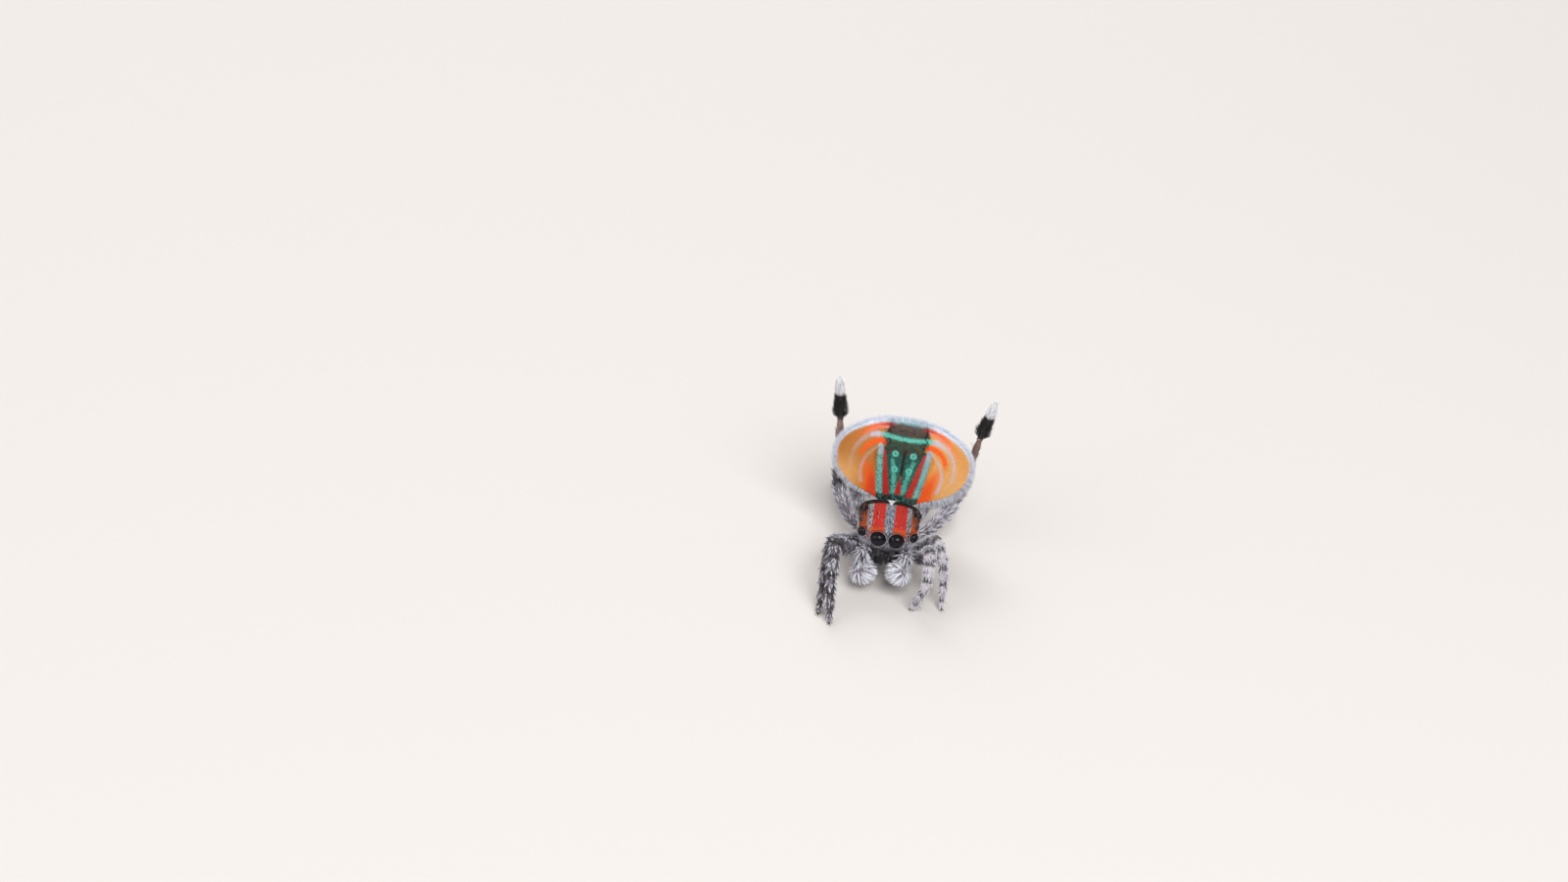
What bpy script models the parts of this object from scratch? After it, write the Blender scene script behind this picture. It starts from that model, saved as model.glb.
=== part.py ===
"""A male peacock spider in display, as a still, life-size figure.

Metres, +Z up. The spider faces -Y and stands on z = 0, so its right side is at -X. Sizes are written in
millimetres times MM, because the whole animal is under 6 mm long.
"""

import math
import random

import bmesh
import bpy
from mathutils import Matrix, Vector

MM = 0.001
GAP = 0.05 * MM
EYE_GAP = 0.02 * MM
WELD = 0.0005 * MM
X_AXIS = Vector((1.0, 0.0, 0.0))
Y_AXIS = Vector((0.0, 1.0, 0.0))
Z_AXIS = Vector((0.0, 0.0, 1.0))

# Prosoma, the head and thorax under one shield
PROSOMA_LENGTH = 2.30 * MM
PROSOMA_FRONT = -1.15 * MM
SHIELD_HALF_WIDTH = ((0.0, 0.70), (0.15, 0.75), (0.42, 0.80), (0.62, 0.83), (0.82, 0.70), (1.0, 0.46))
SHIELD_TOP = ((0.0, 1.56), (0.15, 1.66), (0.42, 1.78), (0.52, 1.76), (0.70, 1.38), (0.85, 1.01), (1.0, 0.90))
SHIELD_BOTTOM = ((0.0, 1.08), (0.15, 0.94), (0.35, 0.84), (1.0, 0.80))
SHIELD_BOXINESS = 2.7
FACE_BLUNTNESS = 4.0
REAR_BLUNTNESS = 2.4
STERNUM_SIZE = Vector((0.40, 0.62, 0.12)) * MM
STERNUM_PLACE = Vector((0.0, 0.02, 0.66)) * MM
MOUTH_SIZE = Vector((0.30, 0.17, 0.12)) * MM
MOUTH_PLACE = Vector((0.0, -0.82, 0.68)) * MM
JAW_SIZE = Vector((0.155, 0.15, 0.26)) * MM
JAW_PLACE = Vector((0.185, -0.96, 0.76)) * MM

# Eyes: place of the ball's centre on the spider's left, and its radius
EYES = {
    "eye_front_middle": (Vector((0.220, -1.000, 1.317)) * MM, 0.185 * MM),
    "eye_front_side": (Vector((0.624, -0.900, 1.395)) * MM, 0.120 * MM),
    "eye_small": (Vector((0.715, -0.560, 1.510)) * MM, 0.040 * MM),
    "eye_rear": (Vector((0.695, -0.220, 1.586)) * MM, 0.105 * MM),
}

# Fan: the abdomen raised upright, its back spread towards the viewer
FAN_CENTRE = Vector((0.160, 1.145, 2.18)) * MM
FAN_LEAN_BACK = math.radians(12.0)
FAN_ROLL = math.radians(1.8)
FAN_HALF_WIDTH = 1.66 * MM
FAN_HALF_HEIGHT = 1.06 * MM
FAN_ROUNDNESS = 2.15
FAN_THICKNESS = 0.14 * MM
SCUTE_HALF_WIDTH = 0.66 * MM
SCUTE_FOOT = -1.14 * MM
SIDE_BOW = 0.10 * MM
TOP_CURL = 0.26 * MM
TOP_CURL_START = 0.40
FRINGE_REACH = 0.03 * MM

ABDOMEN_HALF_WIDTH = 0.72 * MM
ABDOMEN_MIDDLE = -0.13 * MM
ABDOMEN_HALF_LENGTH = 0.93 * MM
ABDOMEN_DEPTH = 1.00 * MM

SPINNERET_LENGTH = 0.18 * MM
SPINNERET_RADIUS = 0.055 * MM

# Legs: hip, trochanter, knee, ankle and toe of each, in millimetres
LEG_JOINTS = {
    "leg1_right": ((-0.47, -0.47, 0.65), (-0.88, -0.90, 0.75), (-1.27, -1.62, 1.36), (-1.26, -2.48, 0.76), (-1.15, -3.06, -0.05)),
    "leg1_left": ((0.47, -0.47, 0.65), (0.93, -0.89, 0.72), (1.10, -1.56, 1.48), (1.13, -2.08, 0.80), (0.82, -2.02, -0.05)),
    "leg2_right": ((-0.48, -0.17, 0.66), (-0.96, -0.32, 0.66), (-1.40, -0.95, 0.85), (-1.43, -2.06, 0.46), (-1.46, -2.74, -0.05)),
    "leg2_left": ((0.48, -0.17, 0.66), (0.94, -0.34, 0.70), (1.26, -0.72, 1.26), (1.52, -1.34, 0.86), (1.57, -1.86, -0.05)),
    "leg3_right": ((-0.48, 0.17, 0.66), (-0.90, 0.38, 0.66), (-1.44, 1.42, 1.10), (-1.54, 1.78, 2.74), (-1.72, 1.74, 4.07)),
    "leg3_left": ((0.48, 0.17, 0.66), (0.96, 0.38, 0.62), (1.70, 1.45, 0.98), (1.98, 1.78, 2.74), (2.24, 1.74, 3.94)),
    "leg4_right": ((-0.44, 0.48, 0.66), (-0.72, 0.90, 0.64), (-1.02, 1.92, 1.00), (-1.34, 2.46, 0.56), (-1.48, 2.90, -0.05)),
    "leg4_left": ((0.44, 0.48, 0.66), (0.72, 0.90, 0.64), (1.02, 1.92, 1.00), (1.36, 2.46, 0.56), (1.52, 2.90, -0.05)),
}
LEG_STOUTNESS = {"leg1": 1.0, "leg2": 0.88, "leg3": 1.0, "leg4": 0.86}
WALKING_RADII = ((0.0, 0.135), (0.12, 0.17), (0.30, 0.215), (0.48, 0.19), (0.62, 0.18), (0.80, 0.135), (1.0, 0.085))
RAISED_RADII = ((0.0, 0.135), (0.10, 0.17), (0.25, 0.21), (0.42, 0.165), (0.62, 0.135), (0.72, 0.12), (1.0, 0.10))
TUBE_RESOLUTION = 2
LEG_STEP = 0.20 * MM
TARSUS_START = 0.60
END_STEP = 0.03 * MM
JOINT_GAP = 0.07 * MM
KNEE_LEAD = 0.20 * MM

PALP_JOINTS = {
    "right": ((-0.46, -0.80, 0.79), (-0.53, -1.04, 0.94), (-0.55, -1.20, 0.94), (-0.53, -1.36, 0.74), (-0.455, -1.43, 0.46), (-0.43, -1.42, 0.17)),
    "left": ((0.46, -0.80, 0.79), (0.52, -1.04, 0.95), (0.51, -1.20, 0.96), (0.45, -1.37, 0.79), (0.38, -1.44, 0.56), (0.34, -1.43, 0.28)),
}
PALP_ARM_SHARE = 0.48
PALP_RADII = ((0.0, 0.10), (0.25, 0.13), (0.48, 0.14), (0.60, 0.19), (0.75, 0.21), (0.90, 0.16), (1.0, 0.07))

PEDICEL_RADIUS = 0.13 * MM

# Coat: locks of hair that stand for the real one's many hairs. Half widths and half thicknesses.
LOCK_RINGS = (0.5,)
LOCK_SWELL = 1.5
LOCK_THICKNESS = 0.022 * MM
FRINGE_LOCKS = 15
FRINGE_END = 58.0
FRINGE_SHORT = 0.15 * MM
FRINGE_LONG = 0.29 * MM
FRINGE_WIDTH = 0.15 * MM
SCUTE_LOCKS = 5
SPINE_RADIUS = 0.022 * MM
FLOOR_CLEAR = 0.05 * MM
SAME_LEG_ROOM = 0.045 * MM
OTHER_LEG_ROOM = 0.10 * MM
RAISED_LEG_ROOM = 0.34 * MM

# Rows of locks round a limb: share of its length, number round it, length, half width, lean off its axis in degrees
LIMB_LOCKS = {
    "femur": ((0.62, 5, 0.22, 0.075, 24),),
    "shin": ((0.16, 4, 0.24, 0.080, 32), (0.45, 4, 0.24, 0.075, 28), (0.74, 4, 0.20, 0.065, 32)),
    "foot": ((0.22, 4, 0.22, 0.055, 26),),
    "metatarsus": ((0.02, 5, 0.24, 0.078, 36), (0.36, 5, 0.26, 0.078, 33), (0.72, 5, 0.24, 0.070, 26)),
    "tarsus": ((0.12, 5, 0.22, 0.066, 32), (0.48, 5, 0.26, 0.070, 28), (0.86, 4, 0.20, 0.055, 12)),
    "arm": ((0.66, 4, 0.22, 0.080, 36),),
    "brush": ((0.05, 5, 0.32, 0.095, 58), (0.35, 6, 0.32, 0.094, 52), (0.62, 5, 0.27, 0.085, 42), (0.88, 4, 0.13, 0.060, 22)),
}
# Spines of a limb: share of its length, angle round it in degrees, length, lean
LIMB_SPINES = {
    "shin": ((0.62, 60, 0.30, 50), (0.62, -60, 0.30, 50)),
}
FACE_LOCKS = 4
ABDOMEN_LOCKS = ((-0.50, 5), (0.0, 5), (0.45, 4))


def clear_scene():
    for thing in list(bpy.data.objects):
        bpy.data.objects.remove(thing, do_unlink=True)


def material(name, colour, roughness, metallic=0.0):
    made = bpy.data.materials.new(name)
    made.use_nodes = True
    shader = made.node_tree.nodes["Principled BSDF"]
    shader.inputs["Base Color"].default_value = (*colour, 1.0)
    shader.inputs["Roughness"].default_value = roughness
    shader.inputs["Metallic"].default_value = metallic
    made.diffuse_color = (*colour, 1.0)
    return made


def read_table(table, at):
    """The value at a share of the length, from pairs of share and millimetres, eased between them."""
    for (low, first), (high, second) in zip(table, table[1:]):
        if at <= high:
            share = max(0.0, (at - low) / (high - low))
            return (first + (second - first) * share) * MM
    return table[-1][1] * MM


def face_outwards(bm):
    """Turns every face out. The signed volume settles it, because the shapes are too small for the guess alone."""
    bmesh.ops.recalc_face_normals(bm, faces=bm.faces)
    if bm.calc_volume(signed=True) < 0:
        bmesh.ops.reverse_faces(bm, faces=bm.faces)


def add_mesh(name, bm, finish, where):
    face_outwards(bm)
    mesh = bpy.data.meshes.new(name)
    bm.to_mesh(mesh)
    bm.free()
    mesh.shade_smooth()
    thing = bpy.data.objects.new(name, mesh)
    if finish:
        mesh.materials.append(finish)
    where.objects.link(thing)
    return thing


def power(value, exponent):
    return math.copysign(abs(value) ** exponent, value)


def shaped_ball(segments, rings, place_of):
    """A UV sphere whose points are moved: place_of gets the share from pole to pole, -1 to 1, and the two
    parts of the direction round the pole axis."""
    bm = bmesh.new()
    bmesh.ops.create_uvsphere(bm, u_segments=segments, v_segments=rings, radius=1.0)
    for vertex in bm.verts:
        along = max(-1.0, min(1.0, vertex.co.z))
        ring = math.hypot(vertex.co.x, vertex.co.y)
        side, rise = (vertex.co.x / ring, vertex.co.y / ring) if ring > 1e-6 else (1.0, 0.0)
        vertex.co = place_of(along, side, rise)
    return bm


def end_factor(along, bluntness):
    return max(0.0, 1.0 - abs(along) ** bluntness) ** (1.0 / bluntness)


def oval_ball(place, size, segments=12, rings=8, squareness=2.0, grow=0.0):
    def place_of(along, side, rise):
        ring = math.sqrt(max(0.0, 1.0 - along * along))
        exponent = 2.0 / squareness
        return place + Vector((
            (size.x + grow) * power(side * ring, exponent),
            (size.y + grow) * along,
            (size.z + grow) * power(rise * ring, exponent),
        ))

    return shaped_ball(segments, rings, place_of)


def shield_ball(segments, rings, grow=0.0):
    """The carapace, from its half width, top and bottom along its length."""
    def place_of(along, side, rise):
        share = (along + 1.0) / 2.0
        ends = end_factor(along, FACE_BLUNTNESS if along < 0 else REAR_BLUNTNESS)
        top = read_table(SHIELD_TOP, share)
        bottom = read_table(SHIELD_BOTTOM, share)
        half_width = read_table(SHIELD_HALF_WIDTH, share)
        half_height = (top - bottom) / 2
        exponent = 2.0 / SHIELD_BOXINESS
        return Vector((
            (half_width * ends + grow) * power(side, exponent),
            PROSOMA_FRONT + PROSOMA_LENGTH * share + grow * along,
            (top + bottom) / 2 + (half_height * ends + grow) * power(rise, exponent),
        ))

    return shaped_ball(segments, rings, place_of)


def fan_frame():
    """The fan's own axes: across, up its middle, and out towards the viewer."""
    outwards = Vector((0.0, -math.cos(FAN_LEAN_BACK), math.sin(FAN_LEAN_BACK)))
    upright = Vector((0.0, math.sin(FAN_LEAN_BACK), math.cos(FAN_LEAN_BACK)))
    across = X_AXIS * math.cos(FAN_ROLL) - upright * math.sin(FAN_ROLL)
    up = upright * math.cos(FAN_ROLL) + X_AXIS * math.sin(FAN_ROLL)
    return across, up, outwards


def fan_point(across_by, up_by, depth=0.0):
    """A point on the fan's face, or depth behind it. The face bows back at its sides and curls back at its top."""
    across, up, outwards = fan_frame()
    bow = SIDE_BOW * (across_by / FAN_HALF_WIDTH) ** 2
    curl = max(0.0, up_by / FAN_HALF_HEIGHT - TOP_CURL_START) / (1.0 - TOP_CURL_START)
    back = bow + TOP_CURL * curl**2 + depth
    return FAN_CENTRE + across * across_by + up * up_by - outwards * back


def fan_rim(up_by, reach=0.0):
    """How far the fan reaches to the side at a height."""
    share = min(1.0, abs(up_by) / (FAN_HALF_HEIGHT + reach))
    return (FAN_HALF_WIDTH + reach) * (1.0 - share**FAN_ROUNDNESS) ** (1.0 / FAN_ROUNDNESS)


def rim_height(across_by, reach=0.0):
    share = min(1.0, abs(across_by) / (FAN_HALF_WIDTH + reach))
    return (FAN_HALF_HEIGHT + reach) * (1.0 - share**FAN_ROUNDNESS) ** (1.0 / FAN_ROUNDNESS)


def plate(columns, rows, place_of, thickness):
    """A thin curved sheet: a grid of shares 0 to 1 moved to place_of(across, up, depth), with its back."""
    bm = bmesh.new()
    bmesh.ops.create_grid(bm, x_segments=columns, y_segments=rows, size=0.5)
    bmesh.ops.triangulate(bm, faces=bm.faces)
    flat = [(vertex.co.x + 0.5, vertex.co.y + 0.5) for vertex in bm.verts]
    back = bmesh.ops.duplicate(bm, geom=bm.verts[:] + bm.edges[:] + bm.faces[:])
    back_faces = [item for item in back["geom"] if isinstance(item, bmesh.types.BMFace)]
    bm.verts.ensure_lookup_table()
    for index, (across, up) in enumerate(flat):
        bm.verts[index].co = place_of(across, up, 0.0)
        bm.verts[index + len(flat)].co = place_of(across, up, thickness)
    bmesh.ops.reverse_faces(bm, faces=back_faces)
    rims = [edge for edge in bm.edges if edge.is_boundary]
    bmesh.ops.bridge_loops(bm, edges=rims)
    bmesh.ops.triangulate(bm, faces=bm.faces)
    return bm


def smooth_path(points, step):
    """Even steps along a cubic B-spline that starts and ends on the first and last point."""
    held = [points[0]] * 2 + list(points) + [points[-1]] * 2
    fine = []
    for a, b, c, d in zip(held, held[1:], held[2:], held[3:]):
        for tick in range(16):
            t = tick / 16
            fine.append(
                (a * (1 - t) ** 3 + b * (3 * t**3 - 6 * t**2 + 4) + c * (-3 * t**3 + 3 * t**2 + 3 * t + 1) + d * t**3) / 6
            )
    fine.append(points[-1].copy())
    lengths = [0.0]
    for first, second in zip(fine, fine[1:]):
        lengths.append(lengths[-1] + (second - first).length)
    count = max(3, round(lengths[-1] / step) + 1)
    return [point_at(fine, lengths, lengths[-1] * index / (count - 1)) for index in range(count)], fine, lengths


def point_at(fine, lengths, distance):
    for index in range(1, len(fine)):
        if lengths[index] >= distance - 1e-12 and lengths[index] > lengths[index - 1]:
            share = (distance - lengths[index - 1]) / (lengths[index] - lengths[index - 1])
            return fine[index - 1].lerp(fine[index], max(0.0, min(1.0, share)))
    return fine[-1].copy()


def stretch(fine, lengths, start, end, step):
    """Even points between two distances along a path, with short steps at its ends so that they end square."""
    inner_start, inner_end = start + END_STEP, end - END_STEP
    count = max(2, round((inner_end - inner_start) / step) + 1)
    inner = [inner_start + (inner_end - inner_start) * index / (count - 1) for index in range(count)]
    distances = [start, *inner, end]
    return [point_at(fine, lengths, distance) for distance in distances], distances


def tube(name, points, radii, finish, where):
    """A round limb along points: a bevelled curve turned into a closed mesh."""
    curve = bpy.data.curves.new(name, "CURVE")
    curve.dimensions = "3D"
    curve.bevel_depth = MM
    curve.bevel_resolution = TUBE_RESOLUTION
    curve.use_fill_caps = True
    spline = curve.splines.new("POLY")
    spline.points.add(len(points) - 1)
    for knot, point, radius in zip(spline.points, points, radii):
        knot.co = (*point, 1.0)
        knot.radius = radius / MM
    rope = bpy.data.objects.new(name, curve)
    where.objects.link(rope)
    graph = bpy.context.evaluated_depsgraph_get()
    mesh = bpy.data.meshes.new_from_object(rope.evaluated_get(graph))
    bm = bmesh.new()
    bm.from_mesh(mesh)
    bmesh.ops.remove_doubles(bm, verts=bm.verts, dist=WELD)
    bpy.data.objects.remove(rope)
    bpy.data.curves.remove(curve)
    bpy.data.meshes.remove(mesh)
    return add_mesh(name, bm, finish, where)


def cut(thing, cutters):
    """Takes the cutters out of a piece, applies it, and keeps the largest closed surface."""
    for cutter in cutters:
        boolean = thing.modifiers.new("clear", "BOOLEAN")
        boolean.operation = "DIFFERENCE"
        boolean.solver = "EXACT"
        boolean.object = cutter
    settle(thing)


def settle(thing):
    graph = bpy.context.evaluated_depsgraph_get()
    mesh = bpy.data.meshes.new_from_object(thing.evaluated_get(graph))
    thing.modifiers.clear()
    old = thing.data
    thing.data = mesh
    bpy.data.meshes.remove(old)
    keep_largest(thing)


def keep_largest(thing):
    bm = bmesh.new()
    bm.from_mesh(thing.data)
    left = set(bm.verts)
    groups = []
    while left:
        group, queue = set(), [left.pop()]
        while queue:
            vertex = queue.pop()
            group.add(vertex)
            for edge in vertex.link_edges:
                other = edge.other_vert(vertex)
                if other in left:
                    left.remove(other)
                    queue.append(other)
        groups.append(group)
    groups.sort(key=len)
    for group in groups[:-1]:
        bmesh.ops.delete(bm, geom=list(group), context="VERTS")
    bm.to_mesh(thing.data)
    bm.free()


def stand_on_floor(thing):
    """Cuts a foot flat at the floor."""
    bm = bmesh.new()
    bm.from_mesh(thing.data)
    made = bmesh.ops.bisect_plane(
        bm, geom=bm.verts[:] + bm.edges[:] + bm.faces[:], plane_co=(0, 0, 0), plane_no=(0, 0, 1), clear_inner=True
    )
    rim = [item for item in made["geom_cut"] if isinstance(item, bmesh.types.BMEdge)]
    bmesh.ops.edgeloop_fill(bm, edges=rim)
    for vertex in bm.verts:
        if abs(vertex.co.z) < WELD:
            vertex.co.z = 0.0
    bm.to_mesh(thing.data)
    bm.free()


def lock(where, root, along, facing, length, half_width, thickness=LOCK_THICKNESS, bend=0.0, sides=4):
    """A flat tapered lock of hair: a cone cut into rings, swollen, flattened and bent."""
    along = along.normalized()
    across = along.cross(facing).normalized()
    out = across.cross(along).normalized()
    bm = bmesh.new()
    bmesh.ops.create_cone(bm, cap_ends=True, segments=sides, radius1=1.0, radius2=0.0, depth=1.0)
    for share in LOCK_RINGS:
        everything = bm.verts[:] + bm.edges[:] + bm.faces[:]
        bmesh.ops.bisect_plane(bm, geom=everything, plane_co=(0.0, 0.0, share - 0.5), plane_no=(0.0, 0.0, 1.0))
    for vertex in bm.verts:
        share = vertex.co.z + 0.5
        swell = 1.0 + LOCK_SWELL * share
        vertex.co = (
            root
            + along * length * share
            + across * half_width * swell * vertex.co.x
            + out * (thickness * swell * vertex.co.y + bend * length * share**2)
        )
    bmesh.ops.triangulate(bm, faces=bm.faces)
    return add_mesh("lock", bm, None, where)


def new_group(name):
    group = bpy.data.collections.new(name)
    bpy.context.scene.collection.children.link(group)
    return group


def around(points, index_share):
    """The point, the direction along and a steady side direction at a share of a run of points."""
    position = max(0.0, min(0.9999, index_share)) * (len(points) - 1)
    low = int(position)
    point = points[low].lerp(points[low + 1], position - low)
    along = (points[low + 1] - points[low]).normalized()
    side = along.cross(Y_AXIS if abs(along.y) < 0.8 else X_AXIS).normalized()
    return point, along, side


def in_the_way(limb, root, tip, limbs):
    """Whether a lock would run into another limb, or graze the next part of its own."""
    family = limb.name.rsplit("_", 1)[0]
    for other, _, points, radii in limbs:
        if other == limb:
            continue
        room = SAME_LEG_ROOM if other.name.startswith(family) else OTHER_LEG_ROOM
        for share in (0.5, 0.75, 1.0):
            spot = root.lerp(tip, share)
            for (first, second), radius in zip(zip(points, points[1:]), radii):
                nearest = closest_on(spot, first, second)
                if (spot - nearest).length < radius + room:
                    return True
    return False


def closest_on(spot, first, second):
    run = second - first
    share = (spot - first).dot(run) / run.length_squared
    return first + run * max(0.0, min(1.0, share))


def meets_body(spot):
    """Whether a point is inside the fan's slab or close over the front of the body."""
    across, up, outwards = fan_frame()
    by = spot - FAN_CENTRE
    bow = SIDE_BOW * (by.dot(across) / FAN_HALF_WIDTH) ** 2
    depth = -by.dot(outwards) - bow
    in_fan = abs(by.dot(up)) < FAN_HALF_HEIGHT + FRINGE_LONG and abs(by.dot(across)) < fan_rim(by.dot(up), FRINGE_LONG)
    in_head = abs(spot.x) < 0.80 * MM and -1.22 * MM < spot.y < 1.0 * MM and spot.z > 0.50 * MM
    return (in_fan and -0.15 * MM < depth < FAN_THICKNESS + 0.12 * MM) or in_head


def clears_raised_legs(spot):
    for side in ("left", "right"):
        joints = [Vector(joint) * MM for joint in LEG_JOINTS[f"leg3_{side}"]]
        for first, second in zip(joints[1:], joints[2:]):
            if (spot - closest_on(spot, first, second)).length < RAISED_LEG_ROOM:
                return False
    return True


def dress_limb(limb, part, points, radii, limbs):
    """Fuses the locks and spines of a limb's part into it."""
    chance = random.Random(limb.name + " coat")
    group = new_group("limb_coat")
    rows = [(share, count, None, length, width, lean) for share, count, length, width, lean in LIMB_LOCKS.get(part, ())]
    rows += [(share, 1, turn, length, None, lean) for share, turn, length, lean in LIMB_SPINES.get(part, ())]
    for share, count, turn, length, width, lean in rows:
        point, along, side = around(points, share)
        radius = radii[round(share * (len(radii) - 1))]
        start = chance.uniform(0.0, math.tau) if turn is None else math.radians(turn + chance.uniform(-12.0, 12.0))
        for number in range(count):
            out = Matrix.Rotation(start + math.tau * number / count, 3, along) @ side
            angle = math.radians(lean + chance.uniform(-4.0, 4.0))
            way = along * math.cos(angle) + out * math.sin(angle)
            reach = length * MM * chance.uniform(0.85, 1.15)
            root = point + out * radius * (0.78 if width else 0.6)
            tip = root + way * reach
            if tip.z < FLOOR_CLEAR or meets_body(tip) or in_the_way(limb, root, tip, limbs):
                continue
            if width:
                lock(group, root, way, out, reach, width * MM, bend=-0.12)
            else:
                lock(group, root, way, out, reach, SPINE_RADIUS, SPINE_RADIUS, 0.06, sides=3)
    if group.objects:
        fuse(limb, group)


def dress_fan(plates):
    """The hair fringe round the fan's rim: longer towards its lower sides."""
    chance = random.Random(11)
    across, up, outwards = fan_frame()

    def rim_lock(group, side, angle, width):
        exponent = 2.0 / FAN_ROUNDNESS
        rim_across = FAN_HALF_WIDTH * power(math.cos(angle), exponent)
        rim_up = FAN_HALF_HEIGHT * power(math.sin(angle), exponent)
        steep = Vector((rim_across / FAN_HALF_WIDTH**2, rim_up / FAN_HALF_HEIGHT**2)).normalized()
        length = FRINGE_SHORT + (FRINGE_LONG - FRINGE_SHORT) * max(0.0, 0.5 - 0.75 * math.sin(angle)) ** 0.7
        length *= chance.uniform(0.85, 1.15)
        inset = 0.12 * MM
        depth = FAN_THICKNESS * chance.uniform(0.4, 0.6)
        root = fan_point(side * (rim_across - steep.x * inset), rim_up - steep.y * inset, depth)
        for shorter in (1.0, 0.6, 0.3):
            reach = length * shorter
            tip = fan_point(side * (rim_across + steep.x * reach), rim_up + steep.y * reach, depth)
            if clears_raised_legs(tip):
                lock(group, root, tip - root, outwards, (tip - root).length, width, 0.03 * MM, bend=-0.05)
                return

    for side, suffix in ((1, "left"), (-1, "right")):
        group = new_group("fringe")
        for number in range(FRINGE_LOCKS):
            angle = math.radians(FRINGE_END * (2.0 * number / (FRINGE_LOCKS - 1) - 1.0))
            rim_lock(group, side, angle, FRINGE_WIDTH * chance.uniform(0.9, 1.1))
        fuse(plates[f"fan_flap_{suffix}"], group)
    group = new_group("fringe")
    for number in range(SCUTE_LOCKS):
        share = 2.0 * number / (SCUTE_LOCKS - 1) - 1.0
        angle = math.acos(power(abs(share * (SCUTE_HALF_WIDTH - 0.25 * MM) / FAN_HALF_WIDTH), FAN_ROUNDNESS / 2.0))
        rim_lock(group, 1 if share >= 0 else -1, angle, FRINGE_WIDTH)
    fuse(plates["fan_scute"], group)


def dress_abdomen(abdomen):
    """Locks over the back and sides of the raised abdomen, lying towards its tip."""
    chance = random.Random(12)
    across, up, outwards = fan_frame()
    group = new_group("abdomen_coat")
    for height, count in ABDOMEN_LOCKS:
        for number in range(count):
            turn = math.radians(-78.0 + 156.0 * (number + chance.uniform(-0.15, 0.15)) / (count - 1))
            point, normal = abdomen_surface(height + chance.uniform(-0.06, 0.06), math.sin(turn), -math.cos(turn))
            way = up * 0.95 + normal * 0.30
            lock(group, point - normal * 0.03 * MM, way, normal, 0.34 * MM * chance.uniform(0.9, 1.1), 0.12 * MM, bend=-0.10)
    fuse(abdomen, group)


def dress_face(shield):
    """Pale hair under the front eyes and on the cheeks, pointing down and forward."""
    chance = random.Random(13)
    group = new_group("face_coat")
    for number in range(FACE_LOCKS):
        share = 2.0 * number / (FACE_LOCKS - 1) - 1.0
        root = Vector((share * 0.22, -1.07 + 0.05 * share * share, 1.05)) * MM
        way = Vector((0.0, -0.70, -0.60))
        lock(group, root, way, -Y_AXIS, 0.24 * MM * chance.uniform(0.9, 1.1), 0.06 * MM, bend=-0.1)
    fuse(shield, group)


def build_prosoma(parts, cutters, finishes):
    shield = add_mesh("carapace", shield_ball(24, 14), finishes["carapace"], parts)
    sockets = []
    for name, (place, radius) in EYES.items():
        for side, suffix in ((1, "left"), (-1, "right")):
            centre = Vector((place.x * side, place.y, place.z))
            segments, rings = (14, 9) if radius > 0.15 * MM else (10, 6) if radius > 0.05 * MM else (8, 5)
            ball = oval_ball(centre, Vector((radius, radius, radius)), segments, rings)
            add_mesh(f"{name}_{suffix}", ball, finishes["eye"], parts)
            wide = radius + EYE_GAP
            socket = oval_ball(centre, Vector((wide, wide, wide)), segments, rings)
            sockets.append(add_mesh(f"{name}_{suffix}_socket", socket, None, cutters))
    cut(shield, sockets)
    dress_face(shield)
    add_mesh("sternum", oval_ball(STERNUM_PLACE, STERNUM_SIZE, 16, 8, 2.6), finishes["sternum"], parts)
    add_mesh("mouthparts", oval_ball(MOUTH_PLACE, MOUTH_SIZE, 12, 8, 2.4), finishes["mouthparts"], parts)
    for side, suffix in ((1, "left"), (-1, "right")):
        place = Vector((JAW_PLACE.x * side, JAW_PLACE.y, JAW_PLACE.z))
        add_mesh(f"chelicera_{suffix}", oval_ball(place, JAW_SIZE, 12, 8, 2.6), finishes["chelicera"], parts)
    for suffix in ("left", "right"):
        cut(bpy.data.objects[f"chelicera_{suffix}"], [bpy.data.objects["shield_clearance"], bpy.data.objects["mouth_clearance"]])


def build_clearances(cutters):
    """The body forms grown by the gap, which cut whatever meets them."""
    add_mesh("shield_clearance", shield_ball(28, 18, GAP), None, cutters)
    add_mesh("sternum_clearance", oval_ball(STERNUM_PLACE, STERNUM_SIZE, 16, 8, 2.6, GAP), None, cutters)
    add_mesh("mouth_clearance", oval_ball(MOUTH_PLACE, MOUTH_SIZE, 12, 8, 2.4, GAP), None, cutters)
    add_mesh("abdomen_clearance", abdomen_ball(GAP), None, cutters)


def abdomen_place(along, side, rise, grow):
    """Bulges back from the fan, flat towards it, narrower at its front end, which is down."""
    ring = end_factor(along, 2.3)
    waist = 1.0 - 0.28 * max(0.0, -along) ** 1.5 - 0.12 * max(0.0, along) ** 2
    across = (ABDOMEN_HALF_WIDTH * ring * waist + grow) * power(side, 0.85)
    half_depth = ABDOMEN_DEPTH / 2
    middle = half_depth * (1.0 - (1.0 - ring) * (0.8 if along < 0 else 0.5))
    depth = FAN_THICKNESS + GAP + middle - (half_depth * ring + grow) * power(rise, 0.8)
    return fan_point(across, ABDOMEN_MIDDLE + (ABDOMEN_HALF_LENGTH + grow) * along, depth)


def abdomen_ball(grow=0.0):
    return shaped_ball(20, 14, lambda along, side, rise: abdomen_place(along, side, rise, grow))


def abdomen_surface(along, side, rise):
    """A point on the abdomen and the way out of it."""
    point = abdomen_place(along, side, rise, 0.0)
    inside = abdomen_place(along * 0.9, side * 0.001, rise * 0.001, 0.0)
    return point, (point - inside).normalized()


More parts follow.
